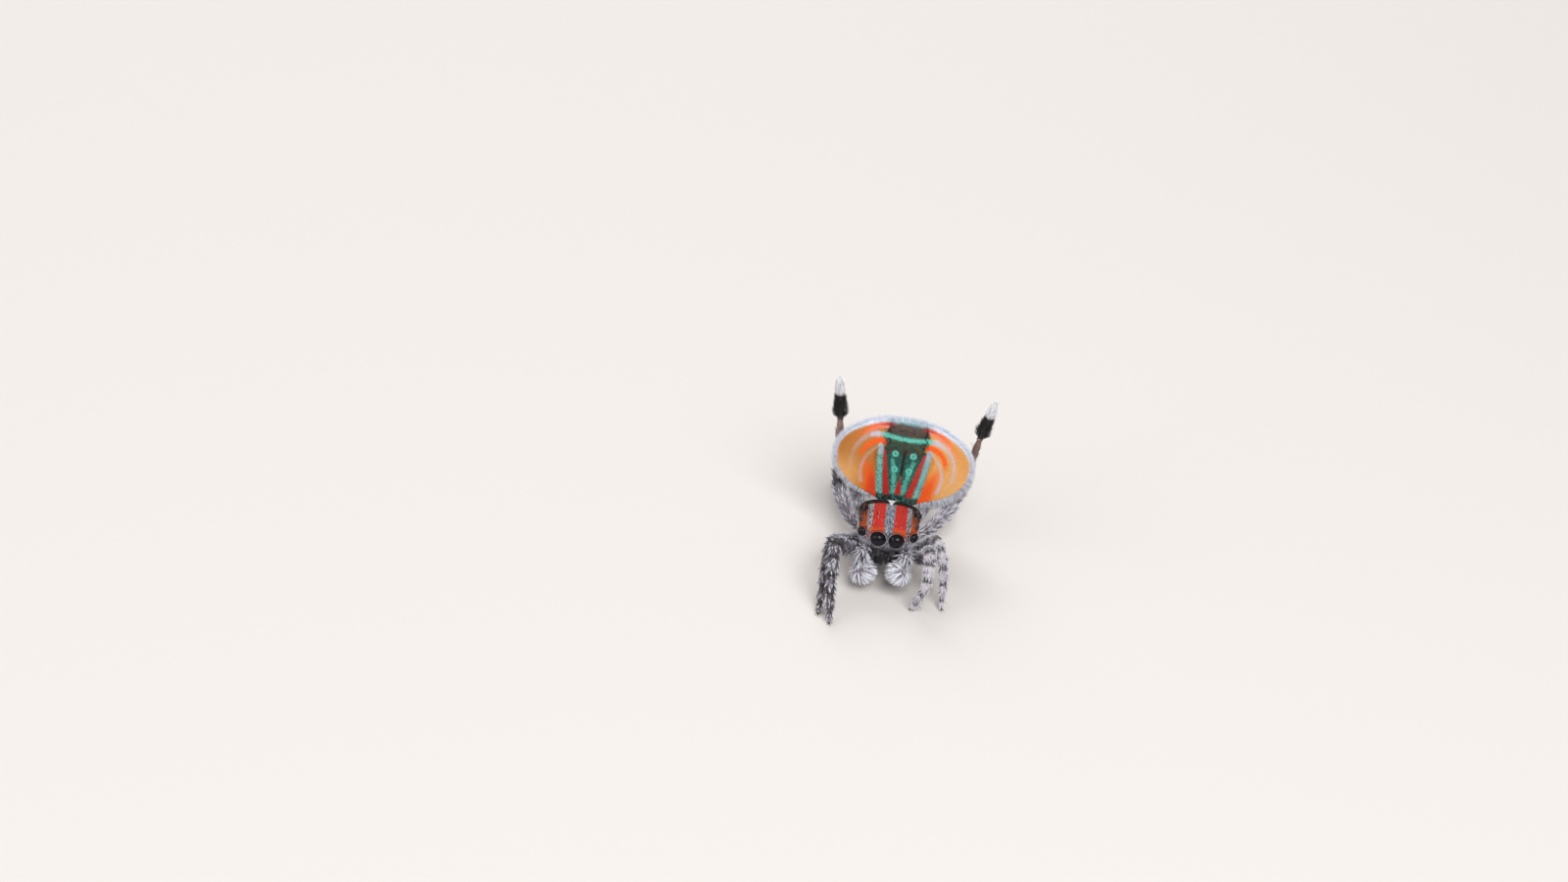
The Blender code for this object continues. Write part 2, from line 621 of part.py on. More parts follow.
def build_abdomen(parts, finishes):
    dress_abdomen(add_mesh("abdomen", abdomen_ball(), finishes["abdomen"], parts))
    plates = {}

    def scute_place(across, up, depth):
        across_by = (across - 0.5) * 2 * (SCUTE_HALF_WIDTH - GAP / 2)
        top = rim_height(across_by, FRINGE_REACH / 2)
        foot = SCUTE_FOOT + across_by * math.tan(FAN_ROLL)
        return fan_point(across_by, foot + (top - foot) * up, depth)

    plates["fan_scute"] = add_mesh("fan_scute", plate(6, 9, scute_place, FAN_THICKNESS), finishes["fan_scute"], parts)
    for side, suffix in ((1, "left"), (-1, "right")):

        def flap_place(across, up, depth):
            tallest = rim_height(SCUTE_HALF_WIDTH, FRINGE_REACH) * 0.995
            up_by = tallest * math.sin((up - 0.5) * math.radians(172))
            inner = SCUTE_HALF_WIDTH + GAP / 2
            outer = max(inner + 0.05 * MM, fan_rim(up_by, FRINGE_REACH))
            return fan_point(side * (inner + (outer - inner) * across), up_by, depth)

        name = f"fan_flap_{suffix}"
        plates[name] = add_mesh(name, plate(6, 12, flap_place, FAN_THICKNESS), finishes["fan_flap"], parts)
    dress_fan(plates)


def build_spinnerets(parts, finishes):
    across, up, outwards = fan_frame()
    base = fan_point(0.0, ABDOMEN_MIDDLE + ABDOMEN_HALF_LENGTH, FAN_THICKNESS + GAP + ABDOMEN_DEPTH * 0.36) + up * (GAP + 0.03 * MM)
    pieces = new_group("spinneret_pieces")
    pad = add_mesh("spinnerets", oval_ball(base, Vector((0.13, 0.11, 0.045)) * MM, 8, 5), finishes["spinnerets"], parts)
    for row in (-1, 1):
        for side in (-1, 1):
            foot = base + across * side * 0.055 * MM - outwards * row * 0.045 * MM
            tip = foot + (up + across * side * 0.25 - outwards * row * 0.25).normalized() * SPINNERET_LENGTH
            points = [foot.lerp(tip, share) for share in (0.0, 0.6, 1.0)]
            radii = [SPINNERET_RADIUS, SPINNERET_RADIUS * 0.85, SPINNERET_RADIUS * 0.4]
            tube("spinneret", points, radii, None, pieces)
    fuse(pad, pieces)


def fuse(thing, pieces):
    boolean = thing.modifiers.new("join", "BOOLEAN")
    boolean.operation = "UNION"
    boolean.solver = "MANIFOLD"
    boolean.operand_type = "COLLECTION"
    boolean.collection = pieces
    settle(thing)
    for piece in list(pieces.objects):
        bpy.data.objects.remove(piece)
    bpy.data.collections.remove(pieces)


def leg_nodes(name, joints, raised):
    """Names, start and end distances, path and radii of a leg's pieces."""
    hip, trochanter, knee, ankle, toe = [Vector(joint) * MM for joint in joints]
    arch = Z_AXIS * (0.0 if raised else 0.06 * MM)
    controls = [
        hip, trochanter, trochanter.lerp(knee, 0.55) + arch, knee + Z_AXIS * 0.10 * MM,
        knee.lerp(ankle, 0.5) + arch, ankle, ankle.lerp(toe, 0.5), toe,
    ]
    _, fine, lengths = smooth_path(controls, LEG_STEP)

    def nearest(point):
        index = min(range(len(fine)), key=lambda number: (fine[number] - point).length)
        return lengths[index]

    knee_at, ankle_at, whole = nearest(knee) - KNEE_LEAD, nearest(ankle), lengths[-1]
    cuts = [0.0, knee_at, ankle_at, whole]
    names = ["femur", "shin", "foot"]
    if raised:
        cuts.insert(3, ankle_at + (whole - ankle_at) * TARSUS_START)
        names = ["femur", "shin", "metatarsus", "tarsus"]
    return fine, lengths, cuts, [f"{name}_{part}" for part in names]


def build_legs(parts, finishes, limbs):
    for name, joints in LEG_JOINTS.items():
        raised = name.startswith("leg3")
        table = RAISED_RADII if raised else WALKING_RADII
        fine, lengths, cuts, names = leg_nodes(name, joints, raised)
        for index, node in enumerate(names):
            start = cuts[index] + (JOINT_GAP / 2 if index else 0.0)
            end = cuts[index + 1] - (JOINT_GAP / 2 if index < len(names) - 1 else 0.0)
            points, distances = stretch(fine, lengths, start, end, LEG_STEP)
            stout = LEG_STOUTNESS[name.split("_")[0]]
            radii = [read_table(table, distance / lengths[-1]) * stout for distance in distances]
            part = node.split("_")[-1]
            if part in ("metatarsus", "tarsus"):
                swell = 0.03
                radii = [
                    radius + swell * MM * max(0.0, math.sin(math.pi * (distance - start) / (end - start))) ** 0.8
                    for radius, distance in zip(radii, distances)
                ]
            finish = finishes[f"leg_{part}"]
            limb = tube(node, points, radii, finish, parts)
            if part == "femur":
                cut(limb, [bpy.data.objects["shield_clearance"], bpy.data.objects["sternum_clearance"]])
            if part == "foot":
                stand_on_floor(limb)
            limbs.append((limb, part, points, radii))


def build_palps(parts, finishes, limbs):
    for suffix, joints in PALP_JOINTS.items():
        controls = [Vector(joint) * MM for joint in joints]
        _, fine, lengths = smooth_path(controls, LEG_STEP)
        joint = lengths[-1] * PALP_ARM_SHARE
        for part, start, end in (("arm", 0.0, joint - JOINT_GAP / 2), ("brush", joint + JOINT_GAP / 2, lengths[-1])):
            points, distances = stretch(fine, lengths, start, end, 0.12 * MM)
            radii = [read_table(PALP_RADII, distance / lengths[-1]) for distance in distances]
            limb = tube(f"palp_{part}_{suffix}", points, radii, finishes[f"palp_{part}"], parts)
            if part == "arm":
                cut(limb, [bpy.data.objects["shield_clearance"], bpy.data.objects["mouth_clearance"]])
            limbs.append((limb, part, points, radii))


def build_pedicel(parts, finishes):
    tip = fan_point(0.0, ABDOMEN_MIDDLE - ABDOMEN_HALF_LENGTH * 0.85, FAN_THICKNESS + GAP + ABDOMEN_DEPTH * 0.16)
    controls = [Vector((0.0, 0.98, 0.86)) * MM, Vector((0.0, 1.26, 0.88)) * MM, Vector((tip.x * 0.5, 1.36 * MM, 1.02 * MM)), tip]
    points = smooth_path(controls, 0.09 * MM)[0]
    waist = tube("pedicel", points, [PEDICEL_RADIUS] * len(points), finishes["pedicel"], parts)
    cut(waist, [bpy.data.objects["shield_clearance"], bpy.data.objects["abdomen_clearance"]])


def make_finishes():
    return {
        "carapace": material("carapace", (0.45, 0.10, 0.06), 0.55),
        "sternum": material("sternum", (0.12, 0.10, 0.09), 0.6),
        "mouthparts": material("mouthparts", (0.20, 0.14, 0.10), 0.6),
        "chelicera": material("chelicera", (0.08, 0.06, 0.06), 0.35),
        "eye": material("eye", (0.01, 0.01, 0.012), 0.05),
        "abdomen": material("abdomen", (0.42, 0.40, 0.38), 0.8),
        "fan_scute": material("fan_scute", (0.08, 0.42, 0.32), 0.45, 0.2),
        "fan_flap": material("fan_flap", (0.86, 0.48, 0.12), 0.5),
        "spinnerets": material("spinnerets", (0.30, 0.26, 0.24), 0.7),
        "pedicel": material("pedicel", (0.10, 0.08, 0.08), 0.6),
        "palp_arm": material("palp_arm", (0.62, 0.62, 0.66), 0.8),
        "palp_brush": material("palp_brush", (0.82, 0.82, 0.86), 0.85),
        "leg_femur": material("leg_femur", (0.40, 0.38, 0.38), 0.8),
        "leg_shin": material("leg_shin", (0.50, 0.48, 0.48), 0.8),
        "leg_foot": material("leg_foot", (0.46, 0.44, 0.44), 0.8),
        "leg_metatarsus": material("leg_metatarsus", (0.02, 0.018, 0.018), 0.7),
        "leg_tarsus": material("leg_tarsus", (0.88, 0.88, 0.90), 0.85),
    }


def centre_on_floor(parts):
    """Moves the whole figure so that the middle of its box stands over the origin. Its feet stay at z = 0."""
    points = [vertex.co for part in parts.objects for vertex in part.data.vertices]
    low = Vector(min(point[axis] for point in points) for axis in range(3))
    high = Vector(max(point[axis] for point in points) for axis in range(3))
    middle = (low + high) / 2
    for part in parts.objects:
        part.data.transform(Matrix.Translation((-middle.x, -middle.y, 0.0)))


def main():
    clear_scene()
    parts = bpy.data.collections.new("peacock_spider")
    cutters = bpy.data.collections.new("cutters")
    for group in (parts, cutters):
        bpy.context.scene.collection.children.link(group)
    finishes = make_finishes()
    build_clearances(cutters)
    build_prosoma(parts, cutters, finishes)
    build_abdomen(parts, finishes)
    build_spinnerets(parts, finishes)
    build_pedicel(parts, finishes)
    limbs = []
    build_palps(parts, finishes, limbs)
    build_legs(parts, finishes, limbs)
    for limb, part, points, radii in limbs:
        dress_limb(limb, part, points, radii, limbs)
    centre_on_floor(parts)
    for cutter in cutters.objects:
        cutter.hide_render = True
        cutter.display_type = "WIRE"


main()
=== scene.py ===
# %% [markdown]
# # A male peacock spider in display, life size
# The real animal is about 5 mm long. It holds its flat, painted abdomen upright like a fan, and waves its third
# pair of legs, each with a black brush and a white tip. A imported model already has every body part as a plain
# solid. This lesson dresses it: one skin, glass eyes, and a coat of some 70,000 scales and hairs.

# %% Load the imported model
import math

import bpy
import numpy as np
from mathutils import Matrix, Vector
from mathutils.kdtree import KDTree


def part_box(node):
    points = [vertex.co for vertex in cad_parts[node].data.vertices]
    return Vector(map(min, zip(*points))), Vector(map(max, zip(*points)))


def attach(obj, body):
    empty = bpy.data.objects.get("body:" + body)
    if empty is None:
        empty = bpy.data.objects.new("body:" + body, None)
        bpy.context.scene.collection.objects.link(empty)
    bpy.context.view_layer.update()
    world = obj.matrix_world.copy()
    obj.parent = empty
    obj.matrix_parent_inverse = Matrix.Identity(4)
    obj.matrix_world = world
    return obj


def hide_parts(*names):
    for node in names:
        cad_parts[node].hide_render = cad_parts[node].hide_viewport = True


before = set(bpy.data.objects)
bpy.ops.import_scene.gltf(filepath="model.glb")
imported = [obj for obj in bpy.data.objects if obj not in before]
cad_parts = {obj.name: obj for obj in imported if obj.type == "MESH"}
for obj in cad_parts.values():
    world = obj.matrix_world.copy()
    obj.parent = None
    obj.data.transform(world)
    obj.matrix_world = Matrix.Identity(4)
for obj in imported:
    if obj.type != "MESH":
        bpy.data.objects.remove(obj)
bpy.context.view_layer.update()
print("packed model:", len(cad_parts), "nodes")

# %% [markdown]
# ## A bench a thousand times larger
# Blender's remesh stops at 0.1 mm, which is as wide as this spider's leg. So every piece is made on a bench
# where one unit is one millimetre, and shrunk when it is finished. The bench has the spider's own axes: it faces
# -Y, its left is +X, and the middle of its body is near x = 0. The front middle eye tells where the packed
# model stands on that bench.

# %% Bench units
MM = 0.001
EYE_ON_BENCH = Vector((0.220, -1.000, 1.317))
eye_low, eye_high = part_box("eye_front_middle_left")
SHIFT = (eye_low + eye_high) / 2 / MM - EYE_ON_BENCH
TO_LIFE_SIZE = Matrix.Scale(MM, 4) @ Matrix.Translation(SHIFT)
print("bench shift in mm:", [round(value, 4) for value in SHIFT])

# %% [markdown]
# ## The camera
# The photo looks down at the spider from in front, about 35 degrees above the level. The spider sat on a branch
# that leaned, so the camera is also turned by 8 degrees about its own line of sight. The animal is small in the
# frame, left and up of nothing else, and the photo's scale is 0.0245 mm for one of its 1600 pixels.

# %% Camera
ELEVATION = math.radians(35.0)
LEAN = math.radians(8.0)
PHOTO_WIDTH = 1600
MM_PER_PIXEL = 0.0245
CAMERA_DISTANCE = 120.0
AIM_ACROSS = -102.1 * MM_PER_PIXEL
AIM_UP = 120.4 * MM_PER_PIXEL
AIM_OUT = 1.2
SENSOR = 36.0

up_level = Vector((0.0, math.sin(ELEVATION), math.cos(ELEVATION)))
towards = Vector((0.0, -math.cos(ELEVATION), math.sin(ELEVATION)))
side_level = Vector((1.0, 0.0, 0.0))
camera_right = side_level * math.cos(LEAN) + up_level * math.sin(LEAN)
camera_up = up_level * math.cos(LEAN) - side_level * math.sin(LEAN)
aim = camera_right * AIM_ACROSS + camera_up * AIM_UP + towards * AIM_OUT + SHIFT
turn = Matrix((camera_right, camera_up, towards)).transposed()
bpy.ops.object.camera_add(location=(aim + towards * CAMERA_DISTANCE) * MM, rotation=turn.to_euler())
camera = bpy.context.object
camera.data.sensor_width = SENSOR
camera.data.lens = SENSOR * CAMERA_DISTANCE / (PHOTO_WIDTH * MM_PER_PIXEL)
camera.data.clip_start = 0.001
camera.data.clip_end = 10.0
bpy.context.scene.camera = camera

# %% [markdown]
# ## Curves and tables
# Each body form is a surface that is walked by two numbers: u runs from one end to the other, and v runs round
# it. The same function then shapes the skin, places each hair, and says which way the hair lies. Two small
# helpers do most of the work: a table that is read smoothly, and a B-spline through a limb's joints.


# %% Helpers for numbers
def unit(vectors):
    return vectors / np.maximum(np.linalg.norm(vectors, axis=-1, keepdims=True), 1e-9)


def signed_power(value, exponent):
    return np.sign(value) * np.abs(value) ** exponent


def smooth_step(low, high, value):
    share = np.clip((value - low) / (high - low), 0.0, 1.0)
    return share * share * (3.0 - 2.0 * share)


def ease(pairs, share):
    """A value between pairs of share and size, read along a smooth curve for a whole array."""
    knots, values = np.array(pairs, float).T
    slopes = np.gradient(values, knots)
    share = np.clip(share, knots[0], knots[-1])
    index = np.clip(np.searchsorted(knots, share, side="right") - 1, 0, len(knots) - 2)
    width = knots[index + 1] - knots[index]
    t = (share - knots[index]) / width
    return (
        (2 * t**3 - 3 * t**2 + 1) * values[index]
        + (t**3 - 2 * t**2 + t) * width * slopes[index]
        + (3 * t**2 - 2 * t**3) * values[index + 1]
        + (t**3 - t**2) * width * slopes[index + 1]
    )


def smooth_curve(points, ticks=16):
    """A cubic B-spline that starts and ends on the first and last point."""
    points = [np.array(point, float) for point in points]
    held = [points[0]] * 2 + points + [points[-1]] * 2
    t = np.arange(ticks)[:, None] / ticks
    runs = [
        (a * (1 - t) ** 3 + b * (3 * t**3 - 6 * t**2 + 4) + c * (3 * t**2 - 3 * t**3 + 3 * t + 1) + d * t**3) / 6
        for a, b, c, d in zip(held, held[1:], held[2:], held[3:])
    ]
    curve = np.vstack([*runs, held[-1][None]])
    moved = np.linalg.norm(np.diff(curve, axis=0), axis=1) > 1e-7
    return curve[np.concatenate([[True], moved])]


def round_about(v):
    """The two parts of the direction round a form at v: to the side and upwards."""
    return np.cos(2 * np.pi * v), np.sin(2 * np.pi * v)


# %% [markdown]
# ## The head and thorax
# A jumping spider's head is a box with rounded edges: a flat, upright face that carries four eyes in a row, a
# back that rises to the rear eyes, and a slope behind them. Its half width, top and underside are three tables
# along its length, and a superellipse with an exponent of 2.7 joins them into one shield.

# %% Head and thorax
SHIELD_LENGTH = 2.30
SHIELD_FRONT = -1.15
SHIELD_WIDTHS = ((0.0, 0.70), (0.15, 0.75), (0.42, 0.765), (0.62, 0.80), (0.82, 0.70), (1.0, 0.46))
SHIELD_TOPS = ((0.0, 1.56), (0.15, 1.66), (0.42, 1.78), (0.52, 1.76), (0.70, 1.38), (0.85, 1.01), (1.0, 0.90))
SHIELD_UNDERS = ((0.0, 1.08), (0.15, 0.94), (0.35, 0.84), (1.0, 0.80))
SHIELD_BOXINESS = 2.7
COAT_DEPTH = 0.02


def shield(u, v):
    along = 2 * u - 1
    side, rise = round_about(v)
    blunt = np.where(along < 0, 4.0, 2.4)
    ends = np.maximum(0.0, 1 - np.abs(along) ** blunt) ** (1 / blunt)
    top, under = ease(SHIELD_TOPS, u), ease(SHIELD_UNDERS, u)
    half_width = ease(SHIELD_WIDTHS, u) * ends - COAT_DEPTH
    half_height = (top - under) / 2 * ends - COAT_DEPTH
    return np.stack([
        np.maximum(half_width, 0.0) * signed_power(side, 2 / SHIELD_BOXINESS),
        SHIELD_FRONT + SHIELD_LENGTH * u - COAT_DEPTH * along,
        (top + under) / 2 + np.maximum(half_height, 0.0) * signed_power(rise, 2 / SHIELD_BOXINESS),
    ], axis=-1)


def oval(place, size, squareness=2.0):
    """A surface function for a rounded block whose ends point along Y."""
    def surface(u, v):
        along = 2 * u - 1
        side, rise = round_about(v)
        ring = np.sqrt(np.maximum(0.0, 1 - along**2))
        return np.stack([
            place[0] + size[0] * signed_power(side * ring, 2 / squareness),
            place[1] + size[1] * along,
            place[2] + size[2] * signed_power(rise * ring, 2 / squareness),
        ], axis=-1)

    return surface


def egg(centre, size, pole):
    """A surface function for an egg whose crown, u = 0, looks along pole."""
    pole = unit(np.array(pole, float))
    first = unit(np.cross((0.0, 0.0, 1.0), pole))
    second = np.cross(pole, first)

    def surface(u, v):
        turn = np.pi * np.asarray(u, float)
        side, rise = round_about(v)
        ring = (side * np.sin(turn))[..., None] * first + (rise * np.sin(turn))[..., None] * second
        return centre + (np.cos(turn)[..., None] * pole + ring) * size

    return surface


JAW_PLACE = (0.185, -0.96, 0.76)
JAW_SIZE = (0.145, 0.15, 0.26)
jaws = {side: oval((JAW_PLACE[0] * sign, *JAW_PLACE[1:]), JAW_SIZE, 2.6) for side, sign in (("left", 1), ("right", -1))}
breast_plate = oval((0.0, 0.01, 0.69), (0.57, 0.84, 0.15), 2.6)
mouth = oval((0.0, -0.82, 0.70), (0.31, 0.18, 0.13), 2.4)

# %% [markdown]
# ## The fan and the abdomen behind it
# The fan is the back of the abdomen, spread flat. It stands upright, leans back by 12 degrees, bows at its sides
# and curls back at its top. Its outline is a superellipse. The soft abdomen bulges behind it.

# %% Fan and abdomen
FAN_CENTRE = np.array((0.160, 1.145, 2.18))
FAN_LEAN_BACK = math.radians(12.0)
FAN_ROLL = math.radians(1.8)
FAN_HALF_WIDTH = 1.70
FAN_HALF_HEIGHT = 1.06
FAN_ROUNDNESS = 2.15
FOOT_DROP = 0.13
FOOT_HALF_WIDTH = 0.55
FAN_FACE_DEPTH = 0.025
FAN_SKIN_THICKNESS = 0.075
SIDE_BOW = 0.10
TOP_CURL = 0.26
TOP_CURL_START = 0.40

fan_out = np.array((0.0, -math.cos(FAN_LEAN_BACK), math.sin(FAN_LEAN_BACK)))
fan_upright = np.array((0.0, math.sin(FAN_LEAN_BACK), math.cos(FAN_LEAN_BACK)))
fan_across = np.array((1.0, 0.0, 0.0)) * math.cos(FAN_ROLL) - fan_upright * math.sin(FAN_ROLL)
fan_up = fan_upright * math.cos(FAN_ROLL) + np.array((1.0, 0.0, 0.0)) * math.sin(FAN_ROLL)


def fan_point(across, up, depth):
    """A point behind the fan's face, from millimetres across it, up it and into it."""
    across, up, depth = np.broadcast_arrays(np.asarray(across, float), up, depth)
    curl = np.maximum(0.0, up / FAN_HALF_HEIGHT - TOP_CURL_START) / (1 - TOP_CURL_START)
    back = SIDE_BOW * (across / FAN_HALF_WIDTH) ** 2 + TOP_CURL * curl**2 + depth
    return FAN_CENTRE + across[..., None] * fan_across + up[..., None] * fan_up - back[..., None] * fan_out


def fan_height(across, up):
    """The fan's half height there: the strip's foot reaches lower than the flaps beside it."""
    return FAN_HALF_HEIGHT + FOOT_DROP * np.exp(-((across / FOOT_HALF_WIDTH) ** 4)) * (up < 0)


def fan_disc(u, v):
    """Millimetres across and up for a share of the way out from the centre, u, and a turn about it, v."""
    side, rise = round_about(v)
    across = u * FAN_HALF_WIDTH * signed_power(side, 2 / FAN_ROUNDNESS)
    return across, u * fan_height(across, rise) * signed_power(rise, 2 / FAN_ROUNDNESS)


def rim_share(across, up):
    """How far out towards the rim each place on the fan is."""
    share = np.abs(across / FAN_HALF_WIDTH) ** FAN_ROUNDNESS + np.abs(up / fan_height(across, up)) ** FAN_ROUNDNESS
    return share ** (1 / FAN_ROUNDNESS)


def fan_face(u, v):
    return fan_point(*fan_disc(u, v), FAN_FACE_DEPTH)


def fan_back(u, v):
    return fan_point(*fan_disc(u, v), FAN_FACE_DEPTH + FAN_SKIN_THICKNESS)


ABDOMEN_HALF_WIDTH = 0.70
ABDOMEN_MIDDLE = -0.13
ABDOMEN_HALF_LENGTH = 0.91
ABDOMEN_HALF_DEPTH = 0.54
ABDOMEN_START = 0.06


def abdomen(u, v):
    along = 2 * u - 1
    side, rise = round_about(v)
    ring = np.maximum(0.0, 1 - np.abs(along) ** 2.3) ** (1 / 2.3)
    waist = 1 - 0.28 * np.maximum(0.0, -along) ** 1.5 - 0.12 * np.maximum(0.0, along) ** 2
    across = ABDOMEN_HALF_WIDTH * ring * waist * signed_power(side, 0.85)
    middle = ABDOMEN_HALF_DEPTH * (1 - (1 - ring) * np.where(along < 0, 0.8, 0.5))
    depth = ABDOMEN_START + middle - ABDOMEN_HALF_DEPTH * ring * signed_power(rise, 0.8)
    return fan_point(across, ABDOMEN_MIDDLE + ABDOMEN_HALF_LENGTH * along, depth)


# %% [markdown]
# ## The legs and palps
# Each limb follows a smooth curve from its hip over its knee to its toe. The radius comes from a table along
# it, and narrows at each joint, where the real leg has a bare dark ring. A steady side direction is carried along
# the curve, so that v = 0 stays on the same side of the limb and hairs don't spiral.

# %% Limbs
LEG_JOINTS = {
    "leg1_right": ((-0.47, -0.47, 0.65), (-0.88, -0.90, 0.75), (-1.27, -1.62, 1.36), (-1.26, -2.48, 0.76), (-1.15, -3.06, 0.0)),
    "leg1_left": ((0.47, -0.47, 0.65), (0.93, -0.89, 0.72), (1.10, -1.56, 1.48), (1.13, -2.08, 0.80), (0.82, -2.02, 0.0)),
    "leg2_right": ((-0.48, -0.17, 0.66), (-0.96, -0.32, 0.66), (-1.40, -0.95, 0.85), (-1.43, -2.06, 0.46), (-1.46, -2.74, 0.0)),
    "leg2_left": ((0.48, -0.17, 0.66), (0.94, -0.34, 0.70), (1.26, -0.72, 1.26), (1.52, -1.34, 0.86), (1.57, -1.86, 0.0)),
    "leg3_right": ((-0.48, 0.17, 0.66), (-0.90, 0.38, 0.66), (-1.44, 1.42, 1.10), (-1.54, 1.78, 2.74), (-1.72, 1.74, 4.07)),
    "leg3_left": ((0.48, 0.17, 0.66), (0.96, 0.38, 0.62), (1.70, 1.45, 0.98), (1.98, 1.78, 2.74), (2.24, 1.74, 3.94)),
    "leg4_right": ((-0.44, 0.48, 0.66), (-0.72, 0.90, 0.64), (-1.02, 1.92, 1.00), (-1.34, 2.46, 0.56), (-1.48, 2.90, 0.0)),
    "leg4_left": ((0.44, 0.48, 0.66), (0.72, 0.90, 0.64), (1.02, 1.92, 1.00), (1.36, 2.46, 0.56), (1.52, 2.90, 0.0)),
}
LEG_STOUTNESS = {"leg1": 1.0, "leg2": 0.88, "leg3": 1.0, "leg4": 0.86}
WALKING_RADII = ((0.0, 0.135), (0.12, 0.17), (0.30, 0.215), (0.48, 0.19), (0.62, 0.18), (0.80, 0.135), (1.0, 0.085))
RAISED_RADII = ((0.0, 0.135), (0.10, 0.17), (0.25, 0.21), (0.42, 0.165), (0.62, 0.135), (0.72, 0.12), (1.0, 0.10))
PALP_RADII = ((0.0, 0.10), (0.25, 0.13), (0.48, 0.14), (0.60, 0.19), (0.75, 0.21), (0.90, 0.16), (1.0, 0.07))
PALP_JOINTS = {
    "palp_right": ((-0.46, -0.80, 0.79), (-0.53, -1.04, 0.94), (-0.55, -1.20, 0.94), (-0.53, -1.36, 0.74), (-0.455, -1.43, 0.46), (-0.43, -1.42, 0.17)),
    "palp_left": ((0.46, -0.80, 0.79), (0.52, -1.04, 0.95), (0.51, -1.20, 0.96), (0.45, -1.37, 0.79), (0.38, -1.44, 0.56), (0.34, -1.43, 0.28)),
}
KNEE_RISE = 0.10
ARCH = 0.06
SKIN_SHARE = 0.70
RINGS_BELOW_KNEE = (0.15, 0.40, 0.63, 0.84)
RING_DEPTH = 0.26
RING_WIDTH = 0.035


class Limb:
    """A limb's centreline, radius and steady side directions, read by distance from its root."""

    def __init__(self, name, controls, radii, stoutness, rings):
        self.name = name
        self.line = smooth_curve(controls)
        steps = np.linalg.norm(np.diff(self.line, axis=0), axis=1)
        self.at = np.concatenate([[0.0], np.cumsum(steps)])
        self.length = self.at[-1]
        self.along = unit(np.gradient(self.line, self.at, axis=0))
        side = np.cross(self.along[0], (0.0, 0.0, 1.0))
        sides = []
        for way in self.along:
            side = side - way * side.dot(way)
            side = side / np.linalg.norm(side)
            sides.append(side)
        self.side = np.array(sides)
        self.radii = radii
        self.stoutness = stoutness
        self.rings = [ring if ring > 1 else ring * self.length for ring in rings]

    def read(self, values, distance):
        return np.stack([np.interp(distance, self.at, values[:, axis]) for axis in range(3)], axis=-1)

    def nearest(self, point):
        return self.at[np.argmin(np.linalg.norm(self.line - np.array(point), axis=1))]

    def waist(self, distance):
        """One minus the narrowing at the joints."""
        dips = [np.exp(-(((distance - ring) / RING_WIDTH) ** 2)) for ring in self.rings]
        return 1 - RING_DEPTH * np.clip(sum(dips), 0, 1)

    def segment_share(self, distance):
        """How far along its own segment, between two joints, each distance lies."""
        marks = np.array([0.0, *sorted(self.rings), self.length])
        index = np.clip(np.searchsorted(marks, distance, side="right") - 1, 0, len(marks) - 2)
        return (distance - marks[index]) / (marks[index + 1] - marks[index])

    def radius(self, distance):
        return ease(self.radii, distance / self.length) * self.stoutness * SKIN_SHARE * self.waist(distance)

    def surface(self, u, v):
        distance = u * self.length
        ends = np.maximum(0.0, 1 - np.abs(2 * u - 1) ** 30) ** (1 / 2)
        way, side = unit(self.read(self.along, distance)), unit(self.read(self.side, distance))
        rise = np.cross(side, way)
        turn_side, turn_rise = round_about(v)
        out = side * turn_side[..., None] + rise * turn_rise[..., None]
        return self.read(self.line, distance) + out * (self.radius(distance) * ends)[..., None]


def make_leg(name, joints):
    hip, trochanter, knee, ankle, toe = (np.array(joint) for joint in joints)
    raised = name.startswith("leg3")
    arch = np.array((0.0, 0.0, 0.0 if raised else ARCH))
    controls = [
        hip, trochanter, trochanter + (knee - trochanter) * 0.55 + arch, knee + (0, 0, KNEE_RISE),
        (knee + ankle) / 2 + arch, ankle, (ankle + toe) / 2, toe,
    ]
    leg = Limb(name, controls, RAISED_RADII if raised else WALKING_RADII, LEG_STOUTNESS[name[:4]], [])
    leg.knee, leg.ankle = leg.nearest(knee), leg.nearest(ankle)
    leg.rings = [leg.nearest(trochanter), leg.knee]
    if raised:
        leg.tarsus = leg.ankle + (leg.length - leg.ankle) * 0.60
        leg.rings += [leg.knee + 0.35, leg.ankle]
    else:
        leg.rings += [leg.knee + share * (leg.length - leg.knee) for share in RINGS_BELOW_KNEE]
    return leg


legs = {name: make_leg(name, joints) for name, joints in LEG_JOINTS.items()}
palps = {name: Limb(name, joints, PALP_RADII, 1.0, (0.24, 0.46)) for name, joints in PALP_JOINTS.items()}
PALP_BULB_SHARE = 0.74
PALP_BULB_SIZE = np.array((0.272, 0.215, 0.246))
PALP_BULB_RISE = {"palp_right": 0.0, "palp_left": 0.04}
PALP_CROWN = (0.53, -0.455, 0.715)
bulbs = {}
for name, palp in palps.items():
    centre = palp.read(palp.line, np.array([PALP_BULB_SHARE * palp.length]))[0] + (0.0, 0.0, PALP_BULB_RISE[name])
    outer = 1 if name == "palp_left" else -1
    bulbs[name] = egg(centre, PALP_BULB_SIZE, (PALP_CROWN[0] * outer, *PALP_CROWN[1:]))
pedicel = Limb("pedicel", [(0, 0.95, 0.86), (0, 1.26, 0.88), (0.03, 1.38, 1.02), (0.06, 1.40, 1.25)], ((0, 0.15), (1, 0.15)), 1.2, ())
print("limb lengths in mm:", {name: round(limb.length, 2) for name, limb in {**legs, **palps}.items()})
